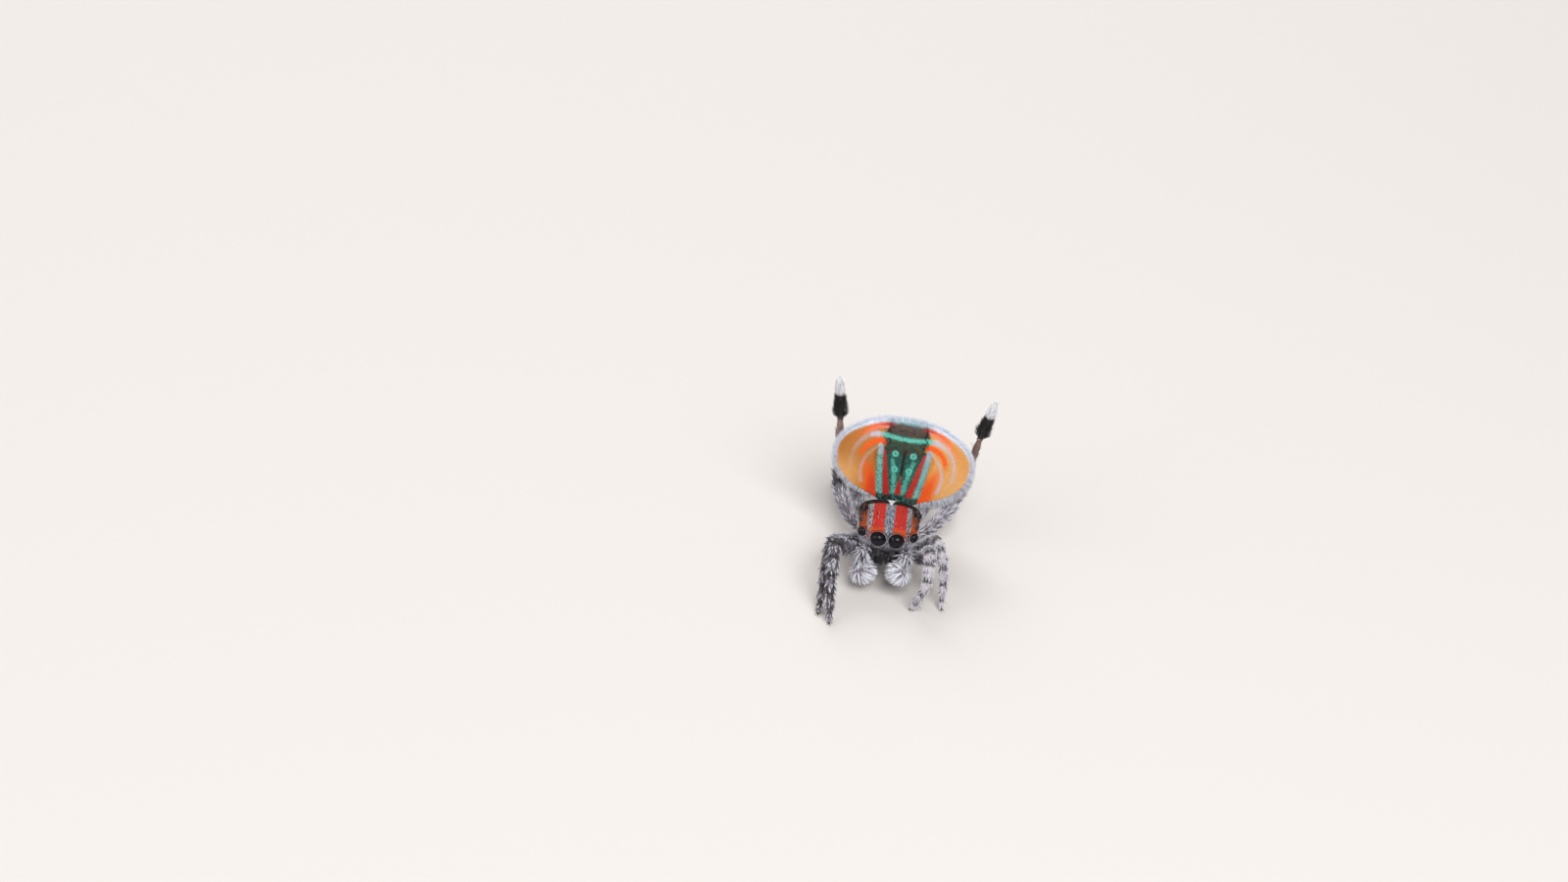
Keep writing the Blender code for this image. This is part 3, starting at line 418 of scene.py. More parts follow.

# %% [markdown]
# ## Colours
# Each colour is chosen and written as it looks on a screen, 0 to 255, then turned into light values for
# the renderer. Names say where it is used.


# %% Palette
def screen(red, green, blue):
    """Light values of a colour given as it looks on a screen."""
    value = np.array((red, green, blue), float) / 255
    return np.where(value <= 0.04045, value / 12.92, ((value + 0.055) / 1.055) ** 2.4)


AMBER = screen(228, 158, 70)
DEEP_AMBER = screen(210, 132, 44)
PALE_AMBER = screen(232, 178, 118)
SHADED_AMBER = screen(160, 100, 44)
PINK = screen(236, 160, 146)
PLUM = screen(76, 50, 62)
SLATE = screen(60, 84, 100)
TEAL = screen(118, 168, 172)
ORANGE = screen(248, 98, 12)
RED = screen(206, 44, 28)
CRIMSON = screen(168, 26, 34)
TURQUOISE = screen(100, 196, 178)
MINT = screen(130, 200, 182)
GREEN = screen(14, 92, 76)
DARK_GREEN = screen(8, 34, 28)
BRONZE = screen(120, 78, 36)
LILAC = screen(206, 194, 208)
RIM_WHITE = screen(236, 238, 250)
RIM_BLUE = screen(188, 210, 234)
STEEL = screen(92, 116, 142)
WHITE = screen(238, 236, 238)
BLACK = screen(14, 12, 14)
DARK_BROWN = screen(52, 24, 16)
EYE_RIM = screen(46, 40, 38)
RUST = screen(176, 78, 26)
HAIR_WHITE = screen(234, 233, 246)
HAIR_GREY = screen(140, 134, 150)
HAIR_DARK = screen(30, 25, 30)
LEG_SKIN = screen(96, 86, 92)
LEG_PINK = screen(208, 198, 203)
STALK_BROWN = screen(120, 96, 90)
PALP_SKIN = screen(112, 100, 108)
SOFT_SKIN = screen(146, 136, 132)


def mix(first, second, share):
    """Blends two colours, or two arrays of them, by a share for each point."""
    share = np.asarray(share, float)[..., None]
    return first * (1 - share) + second * share


def choose(chance, count, *options):
    """A random colour for each of count points, from pairs of colour and weight."""
    weights = np.array([weight for _, weight in options])
    picks = chance.choice(len(options), count, p=weights / weights.sum())
    return np.array([colour for colour, _ in options])[picks]


# %% [markdown]
# ## The painting on the fan
# The same few stripes are on both halves of the fan, so only one half is described, in millimetres from the
# middle line. A stripe is a smooth line through a few points with a width at each end. Each scale asks every
# stripe how far away it is. Speckles come from changing single scales, as on the real animal.


# %% Markings of the fan
def stripe(across, up, points, start_width, end_width, soft=0.025):
    """How strongly a stripe of those half widths covers each point, and how far along it the point lies."""
    line = smooth_curve(points, 6)
    runs = np.diff(line, axis=0)
    lengths = np.linalg.norm(runs, axis=1)
    starts = np.concatenate([[0.0], np.cumsum(lengths)[:-1]]) / lengths.sum()
    spots = np.stack([across, up], axis=-1)
    best = np.full(across.shape, np.inf)
    share = np.zeros(across.shape)
    for start, run, length, begun in zip(line, runs, lengths, starts):
        t = np.clip(((spots - start) @ run) / length**2, 0, 1)
        away = np.linalg.norm(spots - start - t[..., None] * run, axis=-1)
        nearer = away < best
        best = np.where(nearer, away, best)
        share = np.where(nearer, begun + t * length / lengths.sum(), share)
    half_width = start_width + (end_width - start_width) * share
    return 1 - smooth_step(half_width - soft, half_width + soft, best), share


STRIP_EDGE = ((-1.2, 0.52), (-0.98, 0.53), (-0.30, 0.645), (0.25, 0.69), (0.37, 0.58), (0.46, 0.44), (0.62, 0.46), (0.95, 0.46), (1.2, 0.42))
GREEN_EDGE = ((-1.2, 0.50), (-0.98, 0.50), (-0.30, 0.60), (0.20, 0.62), (0.30, 0.55), (0.42, 0.46), (0.55, 0.55), (0.68, 0.57), (0.80, 0.50), (0.90, 0.36), (0.98, 0.14), (1.2, 0.0))
BAND = ((0.0, 0.60), (0.25, 0.60), (0.50, 0.64), (0.74, 0.63))
OUTER_CRESCENT = ((0.74, 0.63), (0.93, 0.58), (1.10, 0.44), (1.24, 0.22), (1.31, -0.06), (1.29, -0.36))
ORANGE_ARC = ((0.44, 0.47), (0.65, 0.49), (0.84, 0.41), (0.98, 0.27), (1.06, 0.08), (1.06, -0.06))
INNER_CRESCENT = ((0.66, 0.31), (0.88, 0.12), (1.01, -0.15), (1.03, -0.45), (0.96, -0.70))
TOP_ARC = ((0.38, 0.89), (0.66, 0.86), (0.90, 0.76), (1.14, 0.59), (1.34, 0.34))
PINK_STREAK = ((0.44, 0.83), (0.68, 0.82), (0.90, 0.73), (1.08, 0.58))
OUTER_TURQUOISE = ((0.62, 0.34), (0.57, -0.30), (0.45, -1.00))
RED_STRIPE = ((0.51, 0.24), (0.41, -0.26), (0.29, -0.92))
INNER_TURQUOISE = ((0.27, 0.0), (0.19, -0.24), (0.11, -0.86))
PATCH = ((0.60, -1.02), (0.73, -0.62), (0.86, -0.26))
EYE_SPOTS = ((0.225, 0.19), (0.18, -0.235))
SPOT_RADIUS = 0.085
WEDGE_TOP, WEDGE_FOOT, WEDGE_WIDTH = -0.34, -0.86, 0.085


def paint_fan(across, up, chance):
    """The colour of each scale on the fan."""
    side = np.abs(across)
    count = across.shape
    blank = np.ones((*count, 1))
    speck = chance.random(count)

    drift = 0.5 + 0.5 * np.sin(side * 4.2 + up * 2.3 + np.sign(across) * 0.4)
    colour = mix(AMBER * blank, DEEP_AMBER, np.clip(0.8 * drift - 0.3 * np.sign(across), 0, 1))
    # The upper half of the flap on the spider's right, away from the key lamp, is painted darker brown: painted shade.
    colour = mix(colour, SHADED_AMBER, 0.55 * (across < 0) * smooth_step(-0.7, 0.0, up))
    colour = mix(colour, PALE_AMBER, 0.7 * smooth_step(0.2, -0.8, up) * smooth_step(0.9, 1.3, side))
    colour = mix(colour, PALE_AMBER, 0.35 * smooth_step(0.4, 0.9, across))
    glow, run = stripe(side, up, PATCH, 0.19, 0.12, 0.14)
    fire = mix(ORANGE * blank, RED, (0.45 - 0.25 * np.sign(across)) * smooth_step(0.95, 0.65, side))
    colour = mix(colour, fire, np.clip(glow * (1.55 - 0.85 * run), 0, 1))
    softness = 0.62 + 0.18 * np.sign(across)
    crescent, run = stripe(side, up, INNER_CRESCENT, 0.028, 0.042, 0.035)
    colour = mix(colour, LILAC, crescent * softness * (0.6 + 0.4 * run))
    crescent, run = stripe(side, up, OUTER_CRESCENT, 0.060, 0.035, 0.045)
    fading = np.where(across < 0, 1 - 0.6 * smooth_step(0.35, 0.75, run), 1 - 0.3 * run)
    colour = mix(colour, LILAC, crescent * fading * np.where(run < 0.15, 1.0, softness))
    arc, run = stripe(side, up, ORANGE_ARC, 0.078, 0.050, 0.025)
    colour = mix(colour, mix(RED, ORANGE, smooth_step(0.0, 0.25, run)), arc * (1 - 0.7 * smooth_step(0.80, 1.0, run)))
    top, run = stripe(side, up, TOP_ARC, 0.070, 0.055, 0.04)
    colour = mix(colour, mix(CRIMSON, ORANGE, smooth_step(0.0, 0.45, run)), top * (1 - 0.8 * smooth_step(0.4, 0.95, run)))
    streak, run = stripe(side, up, PINK_STREAK, 0.018, 0.022, 0.02)
    colour = mix(colour, PINK, streak * (1 - 0.7 * run))

    edge = ease(GREEN_EDGE, up) + 0.12 * smooth_step(0.62, 0.75, up) * (chance.random(count) - 0.5)
    strip = 1 - smooth_step(0.0, 0.03, side - edge)
    ground = mix(GREEN * blank, DARK_GREEN, smooth_step(0.35, 0.0, np.abs(up - 0.25)) * 0.6)
    ground = np.where((speck < 0.30)[..., None], DARK_GREEN, ground)
    ground = np.where(((speck > 0.80) & (up > 0.2))[..., None], BRONZE, ground)
    ground = np.where(((speck > 0.90) & (up <= 0.2))[..., None], TURQUOISE * 0.7, ground)
    crown_paint = choose(chance, count[0], (DARK_GREEN, 0.45), (BRONZE * 0.7, 0.3), (PLUM, 0.25))
    ground = mix(ground, crown_paint, smooth_step(0.66, 0.74, up))
    minted = np.where((speck < 0.22)[..., None], DARK_GREEN, TURQUOISE * (0.7 + 0.4 * chance.random((*count, 1))))
    ground = mix(ground, minted, stripe(side, up, INNER_TURQUOISE, 0.045, 0.065)[0])
    red_paint = mix(RED * blank, CRIMSON, np.clip(0.25 + 0.4 * chance.random(count) - 0.5 * across, 0, 1))
    ground = mix(ground, red_paint, stripe(side, up, RED_STRIPE, 0.030, 0.085, 0.02)[0])
    wedge = WEDGE_WIDTH * (WEDGE_TOP - up) / (WEDGE_TOP - WEDGE_FOOT)
    in_wedge = (side < wedge) & (up < WEDGE_TOP) & (up > WEDGE_FOOT - 0.05)
    ground = np.where(in_wedge[..., None], red_paint * 0.9, ground)
    middle = (side < 0.03 + 0.02 * chance.random(count)) & (up < 0.33) & (up > -0.36)
    ground = np.where(middle[..., None], BLACK, ground)
    for spot_side, spot_up in EYE_SPOTS:
        away = np.hypot(side - spot_side, up - spot_up) / SPOT_RADIUS
        ground = mix(ground, TURQUOISE * 1.1, 1 - smooth_step(0.8, 1.15, away))
        ground = mix(ground, BLACK, 1 - smooth_step(0.18, 0.42, away))
    # The strip's foot is painted black with a few turquoise scales: partly dark scales and partly painted shadow where
    # the fan meets the head.
    foot_paint = np.where((speck < 0.2)[..., None], TURQUOISE * 0.5, BLACK * 1.5)
    ground = mix(ground, foot_paint, smooth_step(-0.90, -0.98, up) * 0.95)
    colour = mix(colour, ground, strip)
    outer, run = stripe(side, up, OUTER_TURQUOISE, 0.065, 0.078)
    # The outer turquoise stripe fades into the same black foot, which is partly painted shadow.
    outer = outer * (1 - 0.95 * smooth_step(-0.90, -0.98, up))
    pale_mint = np.where((speck < 0.20)[..., None], GREEN * 0.6, MINT * (0.8 + 0.35 * chance.random((*count, 1))))
    pale_mint = mix(pale_mint, RIM_BLUE * 0.7, np.where(across > 0, 0.60 - 0.50 * run, 0.10))
    colour = mix(colour, mix(pale_mint, LILAC, 0.7 * smooth_step(0.25, 0.0, run)), outer)
    band_paint = np.where((speck < 0.14)[..., None], GREEN, TURQUOISE * (0.95 + 0.25 * chance.random((*count, 1))))
    band, run = stripe(side, up, BAND, 0.050, 0.055)
    colour = mix(colour, mix(band_paint, LILAC, smooth_step(0.75, 1.0, run)), band * (side < 0.82))
    crest = smooth_step(0.90, 0.97, up) * (1 - smooth_step(0.45, 0.75, side))
    crest_paint = np.where((speck < 0.35)[..., None], SLATE, TEAL)
    colour = mix(colour, crest_paint, crest)
    rim = rim_share(across, up)
    rim_start = 0.965 - 0.055 * smooth_step(0.2, 0.9, up) + 0.06 * smooth_step(-0.1, -0.8, up)
    pale = np.where((speck < 0.5)[..., None], RIM_WHITE, RIM_BLUE)
    return mix(colour, pale, smooth_step(rim_start, rim_start + 0.04, rim) * (1 - 0.5 * crest))


# %% [markdown]
# ## The painting on the head
# Two bright red stripes run from the front eyes over the head, with a speckled blue-grey stripe between them and
# one outside each. The cheeks are rust brown. At the back edge is a black band, partly dark hair and partly
# painted shadow below the fan, with a small white triangle.

# %% Markings of the head
MIDDLE_STRIPE = 0.115
RED_OUTER = 0.425
GREY_OUTER = 0.545
BAND_START = -0.16
TRIANGLE_POINT, TRIANGLE_BASE, TRIANGLE_WIDTH = -0.19, 0.12, 0.12


def in_triangle(points):
    """True inside the small white triangle at the head's back edge."""
    reach = TRIANGLE_WIDTH * (points[..., 1] - TRIANGLE_POINT) / (TRIANGLE_BASE - TRIANGLE_POINT)
    high_enough = (points[..., 1] > TRIANGLE_POINT) & (points[..., 1] < TRIANGLE_BASE) & (points[..., 2] > 1.5)
    return (np.abs(points[..., 0]) < reach) & high_enough


def paint_head(points, chance):
    x, y, z = points[..., 0], points[..., 1], points[..., 2]
    count = x.shape
    side = np.abs(x)
    speck = chance.random(count)
    steel = np.where((speck < 0.33)[..., None], WHITE * 0.65, np.where((speck > 0.82)[..., None], BLACK * 3, STEEL))
    red = np.where((speck < 0.06)[..., None], DARK_BROWN, RED * (0.85 + 0.4 * chance.random((*count, 1))))
    red = mix(red, ORANGE, smooth_step(-0.84, -1.00, y) * 0.9)
    grey = np.where((speck < 0.38)[..., None], WHITE * 0.7, np.where((speck > 0.68)[..., None], BLACK * 3, HAIR_GREY))
    cheek = mix(DARK_BROWN * np.ones((*count, 1)), RUST, smooth_step(-0.20, -0.60, y) * (speck > 0.15))
    cheek = mix(cheek, ORANGE * 0.8, 0.6 * smooth_step(-0.55, -0.85, y) * (speck > 0.35))
    colour = mix(steel, red, smooth_step(MIDDLE_STRIPE - 0.02, MIDDLE_STRIPE + 0.02, side))
    colour = mix(colour, grey, smooth_step(RED_OUTER - 0.02, RED_OUTER + 0.02, side))
    colour = mix(colour, cheek, smooth_step(GREY_OUTER - 0.02, GREY_OUTER + 0.03, side))
    # From BAND_START back, the head is painted black: partly dark hair and partly painted shadow below the fan.
    rear = smooth_step(BAND_START, BAND_START + 0.05, y)
    colour = mix(colour, BLACK, rear)
    slope = smooth_step(0.45, 0.75, y)
    colour = mix(colour, np.where((speck < 0.3)[..., None], HAIR_GREY, DARK_BROWN), slope * 0.7)
    colour = np.where(in_triangle(points)[..., None], WHITE, colour)
    low = smooth_step(1.30, 1.16, z) * smooth_step(0.6, 0.3, y)
    return mix(colour, np.where((speck < 0.4)[..., None], HAIR_WHITE * 0.7, HAIR_GREY * 0.5), low)


# %% [markdown]
# ## The painting on the legs
# The walking legs are banded: pale tufts of white and lilac-grey hair, with a dark bare ring at each joint. The
# raised third legs go from hairy and grey at the thigh to a bare brown stalk, a black brush and a white tip.


# %% Markings of the limbs
def ring_nearness(limb, distance, width):
    dips = [np.exp(-(((distance - ring) / width) ** 2)) for ring in limb.rings]
    return np.clip(sum(dips), 0, 1)


def ring_share(limb, share):
    """How much of the dark ring there is at a share of the way along a segment."""
    ring_half = 0.11 if limb.name.endswith("left") else 0.19
    return np.maximum(smooth_step(ring_half, ring_half * 0.6, share), smooth_step(0.98 - ring_half, 1.0 - ring_half * 0.6, share))


def paint_leg_hair(limb, distance, chance):
    count = distance.shape
    share = limb.segment_share(distance)
    # Legs on the spider's left, the key lamp's side, get far more white hair than those on its right: painted light and
    # shade on one real banding.
    white_share = 0.86 if limb.name.endswith("left") else 0.48
    hair = choose(chance, count, (HAIR_WHITE, white_share), (HAIR_GREY, 0.4 * (1 - white_share)), (HAIR_DARK, 0.6 * (1 - white_share)))
    dark_hair = choose(chance, count, (HAIR_DARK, 0.75), (HAIR_GREY * 0.5, 0.25))
    hair = np.where((chance.random(count) < 0.95 * ring_share(limb, share))[..., None], dark_hair, hair)
    thigh = (distance < limb.knee - 0.15)[..., None]
    thigh_hair = choose(chance, count, (HAIR_WHITE, white_share * 0.6), (LEG_PINK, 0.10), (HAIR_GREY, 0.9 - white_share * 0.6))
    hair = np.where(thigh, thigh_hair, hair)
    if limb.name.startswith("leg3"):
        shin = (distance > limb.knee + 0.2)[..., None]
        shin_hair = choose(chance, count, (HAIR_WHITE, 0.55), (LEG_PINK, 0.20), (HAIR_GREY, 0.25))
        hair = np.where(shin, shin_hair, hair)
        stalk = (distance > limb.ankle - 0.45)[..., None]
        hair = np.where(stalk, choose(chance, count, (STALK_BROWN, 0.7), (LEG_PINK, 0.3)), hair)
    return hair


def paint_leg_skin(limb, distance):
    blank = np.ones((*distance.shape, 1))
    # Skin of the legs on the spider's left, the lamp's side, is paler than on its right legs: painted light and shade
    # on one skin.
    pale = LEG_PINK if limb.name.endswith("left") else LEG_SKIN
    thigh = smooth_step(limb.knee - 0.1, limb.knee - 0.4, distance)
    colour = mix(pale * blank, LEG_SKIN * 0.8, thigh)
    colour = mix(colour, BLACK, 0.95 * ring_nearness(limb, distance, 0.08))
    if limb.name.startswith("leg3"):
        colour = mix(colour, LEG_PINK * 0.6, smooth_step(limb.knee + 0.1, limb.knee + 0.4, distance))
        colour = mix(colour, STALK_BROWN, smooth_step(limb.ankle - 0.60, limb.ankle - 0.40, distance))
        colour = mix(colour, BLACK, smooth_step(limb.ankle + 0.08, limb.ankle + 0.14, distance))
        colour = mix(colour, WHITE, smooth_step(limb.tarsus, limb.tarsus + 0.05, distance))
    return colour


# %% [markdown]
# ## Finishes
# Skin, scales and hair all carry their colour in an attribute named tint, one value for each point, so a finish
# only says how that colour shines. Scales on the green strip are a little metallic, as their colour comes from
# thin layers. Hair is soft and has a low sheen. A fine noise breaks up each colour and its roughness.

# %% Finishes
TINT = "tint"


def finish(name, roughness, grain, grain_size, bump=0.0, bump_size=0.0, **sockets):
    """A shader that reads the tint, varies it by a noise of that size in mm, and dents it."""
    made = bpy.data.materials.new(name)
    made.use_nodes = True
    nodes, links = made.node_tree.nodes, made.node_tree.links
    shader = nodes["Principled BSDF"]
    tint = nodes.new("ShaderNodeAttribute")
    tint.attribute_name = TINT
    place = nodes.new("ShaderNodeTexCoord")
    noise = nodes.new("ShaderNodeTexNoise")
    noise.inputs["Scale"].default_value = 1 / (grain_size * MM)
    noise.inputs["Detail"].default_value = 3.0
    links.new(place.outputs["Object"], noise.inputs["Vector"])
    light = nodes.new("ShaderNodeMapRange")
    light.inputs["To Min"].default_value = 1 - grain
    light.inputs["To Max"].default_value = 1 + grain
    links.new(noise.outputs["Fac"], light.inputs["Value"])
    scaled = nodes.new("ShaderNodeVectorMath")
    scaled.operation = "SCALE"
    links.new(tint.outputs["Color"], scaled.inputs[0])
    links.new(light.outputs["Result"], scaled.inputs["Scale"])
    links.new(scaled.outputs["Vector"], shader.inputs["Base Color"])
    rough = nodes.new("ShaderNodeMapRange")
    rough.inputs["To Min"].default_value = roughness - 0.08
    rough.inputs["To Max"].default_value = roughness + 0.08
    links.new(noise.outputs["Fac"], rough.inputs["Value"])
    links.new(rough.outputs["Result"], shader.inputs["Roughness"])
    if bump:
        dents = nodes.new("ShaderNodeTexNoise")
        dents.inputs["Scale"].default_value = 1 / (bump_size * MM)
        dents.inputs["Detail"].default_value = 4.0
        links.new(place.outputs["Object"], dents.inputs["Vector"])
        relief = nodes.new("ShaderNodeBump")
        relief.inputs["Strength"].default_value = 0.6
        relief.inputs["Distance"].default_value = bump * MM
        links.new(dents.outputs["Fac"], relief.inputs["Height"])
        links.new(relief.outputs["Normal"], shader.inputs["Normal"])
    for socket, value in sockets.items():
        shader.inputs[socket.replace("_", " ")].default_value = value
    return made


skin_finish = finish("spider_skin", 0.50, 0.25, 0.12, 0.006, 0.03, Specular_IOR_Level=0.5)
fan_skin_finish = finish("fan_skin", 0.55, 0.15, 0.20, 0.004, 0.04)
strip_scale_finish = finish("strip_scales", 0.38, 0.15, 0.05, Metallic=0.25, Coat_Weight=0.15, Coat_Roughness=0.3)
flap_scale_finish = finish("flap_scales", 0.48, 0.06, 0.15, Specular_IOR_Level=0.35)
head_scale_finish = finish("head_scales", 0.50, 0.12, 0.05, Specular_IOR_Level=0.3)
hair_finish = finish("hair", 0.55, 0.10, 0.10, Sheen_Weight=0.3, Sheen_Roughness=0.5)
brush_finish = finish("brush_hair", 0.50, 0.10, 0.10, Sheen_Weight=0.2, Sheen_Roughness=0.4)
claw_finish = finish("claw", 0.25, 0.10, 0.05)


# %% [markdown]
# ## From bench to life size
# These helpers read and write a mesh's points as arrays, and move a finished piece to its real size and place,
# with its object left unturned at the origin.


# %% Helpers for meshes
def deselect_all():
    if bpy.context.mode != "OBJECT":
        bpy.ops.object.mode_set(mode="OBJECT")
    bpy.ops.object.select_all(action="DESELECT")


def read_points(thing):
    points = np.empty(len(thing.data.vertices) * 3, np.float32)
    thing.data.vertices.foreach_get("co", points)
    return points.reshape(-1, 3).astype(float)


def write_points(thing, points):
    thing.data.vertices.foreach_set("co", np.asarray(points, np.float32).ravel())
    thing.data.update()


def set_tint(mesh, colours):
    layer = mesh.color_attributes.get(TINT) or mesh.color_attributes.new(TINT, "FLOAT_COLOR", "POINT")
    full = np.ones((len(mesh.vertices), 4), np.float32)
    full[:, :3] = colours
    layer.data.foreach_set("color", full.ravel())


def apply_modifiers(thing):
    deselect_all()
    bpy.context.view_layer.objects.active = thing
    thing.select_set(True)
    for modifier in list(thing.modifiers):
        bpy.ops.object.modifier_apply(modifier=modifier.name)


def triangle_count(thing):
    thing.data.calc_loop_triangles()
    return len(thing.data.loop_triangles)


def hand_over(thing, name, material, slot, *nodes):
    """Shrinks a finished piece to life size, names it, gives it its finish, and hides the model's parts that it
    replaces.
    """
    thing.data.transform(thing.matrix_world)
    thing.matrix_world = Matrix.Identity(4)
    thing.data.transform(TO_LIFE_SIZE)
    thing.name = name
    thing.data.name = name
    thing.data.materials.clear()
    thing.data.materials.append(material)
    thing.data.shade_smooth()
    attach(thing, "root")
    if nodes:
        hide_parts(*nodes)
    print(f"{name}: {triangle_count(thing)} triangles")
    return thing


# %% [markdown]
# ## The skin
# The body, the legs and the palps share one skin, so no seam shows where a limb leaves the body. Each form starts
# as a ball whose points are moved onto the form's surface. All are joined and remeshed at 0.026 mm into one
# closed surface, then smoothed. The remesh drops colours, so each new point takes the tint of the nearest old one.
# Last, the skin is pressed back into a round socket behind each eye, and the feet are made flat on the floor.


# %% Skin forms
def make_form(surface, segments, rings, paint):
    deselect_all()
    bpy.ops.mesh.primitive_uv_sphere_add(segments=segments, ring_count=rings, radius=1.0)
    ball = bpy.context.object
    points = read_points(ball)
    u = (np.clip(points[:, 2], -1, 1) + 1) / 2
    v = np.arctan2(points[:, 1], points[:, 0]) / (2 * np.pi) % 1.0
    placed = surface(u, v)
    write_points(ball, placed)
    set_tint(ball.data, paint(u, placed))
    return ball


def plain(colour):
    return lambda u, points: colour * np.ones((len(points), 1))


SPINNERET_LENGTH = 0.17
skin_chance = np.random.default_rng(1)
forms = [
    # The head's skin takes the head's markings at 0.45 of their brightness: painted shade under the scales.
    make_form(shield, 96, 96, lambda u, points: paint_head(points, skin_chance) * 0.45),
    make_form(breast_plate, 48, 32, plain(LEG_SKIN)),
    make_form(mouth, 32, 24, plain(DARK_BROWN)),
    make_form(abdomen, 72, 60, plain(SOFT_SKIN)),
    make_form(pedicel.surface, 24, 32, plain(BLACK * 2)),
]
forms += [make_form(jaw, 40, 32, plain(BLACK)) for jaw in jaws.values()]
for leg in legs.values():
    forms.append(make_form(leg.surface, 28, 160, lambda u, points, leg=leg: paint_leg_skin(leg, u * leg.length)))
for name, palp in palps.items():
    forms.append(make_form(palp.surface, 28, 64, plain(PALP_SKIN)))
    forms.append(make_form(bulbs[name], 32, 32, plain(PALP_SKIN)))
spinneret_root = fan_point(0.0, ABDOMEN_MIDDLE + ABDOMEN_HALF_LENGTH - 0.03, ABDOMEN_HALF_DEPTH * 0.85)
for turn_side in (-1, 1):
    for turn_back in (-1, 1):
        foot = spinneret_root + fan_across * turn_side * 0.055 - fan_out * turn_back * 0.045
        way = unit(fan_up + fan_across * turn_side * 0.25 - fan_out * turn_back * 0.25)
        tube = Limb("spinneret", [foot, foot + way * SPINNERET_LENGTH * 0.6, foot + way * SPINNERET_LENGTH], ((0, 0.07), (1, 0.04)), 1.0, ())
        forms.append(make_form(tube.surface, 16, 16, plain(HAIR_GREY)))

# %% [markdown]
# Each eye sits in a low collar of skin. The collar is a torus at the eye, turned to look where the eye looks, and
# it melts into the head in the remesh.

# %% Eyes: places, and their collars
EYE_WAYS = {
    "eye_front_middle": (0.10, -1.0, 0.10),
    "eye_front_side": (0.55, -0.80, 0.20),
    "eye_small": (1.0, -0.10, 0.45),
    "eye_rear": (0.95, 0.12, 0.45),
}
EYE_GROWTH = {"eye_front_middle": 1.06, "eye_front_side": 1.0, "eye_small": 1.0, "eye_rear": 1.0}
EYE_PUSH = {"eye_front_middle": 0.055, "eye_front_side": 0.025, "eye_small": -0.004, "eye_rear": -0.008}
EYE_COLLAR = {"eye_front_middle": 0.023, "eye_front_side": 0.020, "eye_small": 0.014, "eye_rear": 0.016}
SOCKET_GAP = 0.006
SOCKET_DEPTH = 0.10
eyes = {}
for kind, way in EYE_WAYS.items():
    for side, sign in (("left", 1), ("right", -1)):
        node = f"{kind}_{side}"
        low, high = (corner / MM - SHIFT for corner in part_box(node))
        looking = Vector((way[0] * sign, way[1], way[2])).normalized()
        centre = (low + high) / 2 + looking * EYE_PUSH[kind] + Vector((0, 0, EYE_PUSH[kind] * 0.6))
        radius = (high - low).y / 2 * EYE_GROWTH[kind]
        eyes[node] = (centre, radius, looking)
        deselect_all()
        bpy.ops.mesh.primitive_torus_add(
            location=centre + looking * radius * 0.15,
            rotation=looking.to_track_quat("Z", "Y").to_euler(),
            major_radius=radius + EYE_COLLAR[kind], minor_radius=EYE_COLLAR[kind] + 0.002,
            major_segments=32, minor_segments=12,
        )
        collar = bpy.context.object
        bpy.ops.object.transform_apply()
        set_tint(collar.data, plain(EYE_RIM if kind.startswith("eye_front") else DARK_BROWN)(None, collar.data.vertices))
        forms.append(collar)

# %% Join, remesh and tint the skin
SKIN_VOXEL = 0.026
FOOT_LEVEL = 0.003
SKIN_NODES = [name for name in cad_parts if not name.startswith(("eye_", "fan_"))]

deselect_all()
for form in forms:
    form.select_set(True)
bpy.context.view_layer.objects.active = forms[0]
bpy.ops.object.join()
skin = bpy.context.object
old_points = read_points(skin)
old_tints = np.empty(len(old_points) * 4, np.float32)
skin.data.color_attributes[TINT].data.foreach_get("color", old_tints)
old_tints = old_tints.reshape(-1, 4)[:, :3]
tree = KDTree(len(old_points))
for index, point in enumerate(old_points):
    tree.insert(point, index)
tree.balance()
remesh = skin.modifiers.new("one_skin", "REMESH")
remesh.mode = "VOXEL"
remesh.voxel_size = SKIN_VOXEL
smooth = skin.modifiers.new("soften", "SMOOTH")
smooth.factor = 0.5
smooth.iterations = 3
apply_modifiers(skin)
points = read_points(skin)
nearest = [tree.find(point)[1] for point in points]
set_tint(skin.data, old_tints[nearest])
for centre, radius, looking in eyes.values():
    out_way = np.array(looking)
    offset = points - np.array(centre)
    depth = offset @ out_way
    away = np.linalg.norm(offset - depth[:, None] * out_way, axis=1)
    bed = -SOCKET_DEPTH * radius
    inside = (away < radius + SOCKET_GAP) & (depth > bed) & (depth < 1.6 * radius)
    points[inside] += (bed - depth[inside])[:, None] * out_way
points[:, 2] = np.maximum(points[:, 2], FOOT_LEVEL)
write_points(skin, points)
hand_over(skin, "spider_skin", skin_finish, "leg_femur", *SKIN_NODES)

# %% [markdown]
# ## The fan's skin
# The fan is thin, so it is a sheet of its own: a round grid of rings bent onto the fan's face, thickened, with a
# rounded rim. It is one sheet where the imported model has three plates, and the fold beside the strip is a shallow
# groove. It carries the same painting as the scales that lie on it.

# %% Fan skin
FOLD_DEPTH = 0.012
FOLD_WIDTH = 0.03
DISC_RINGS = 70
DISC_SEGMENTS = 180

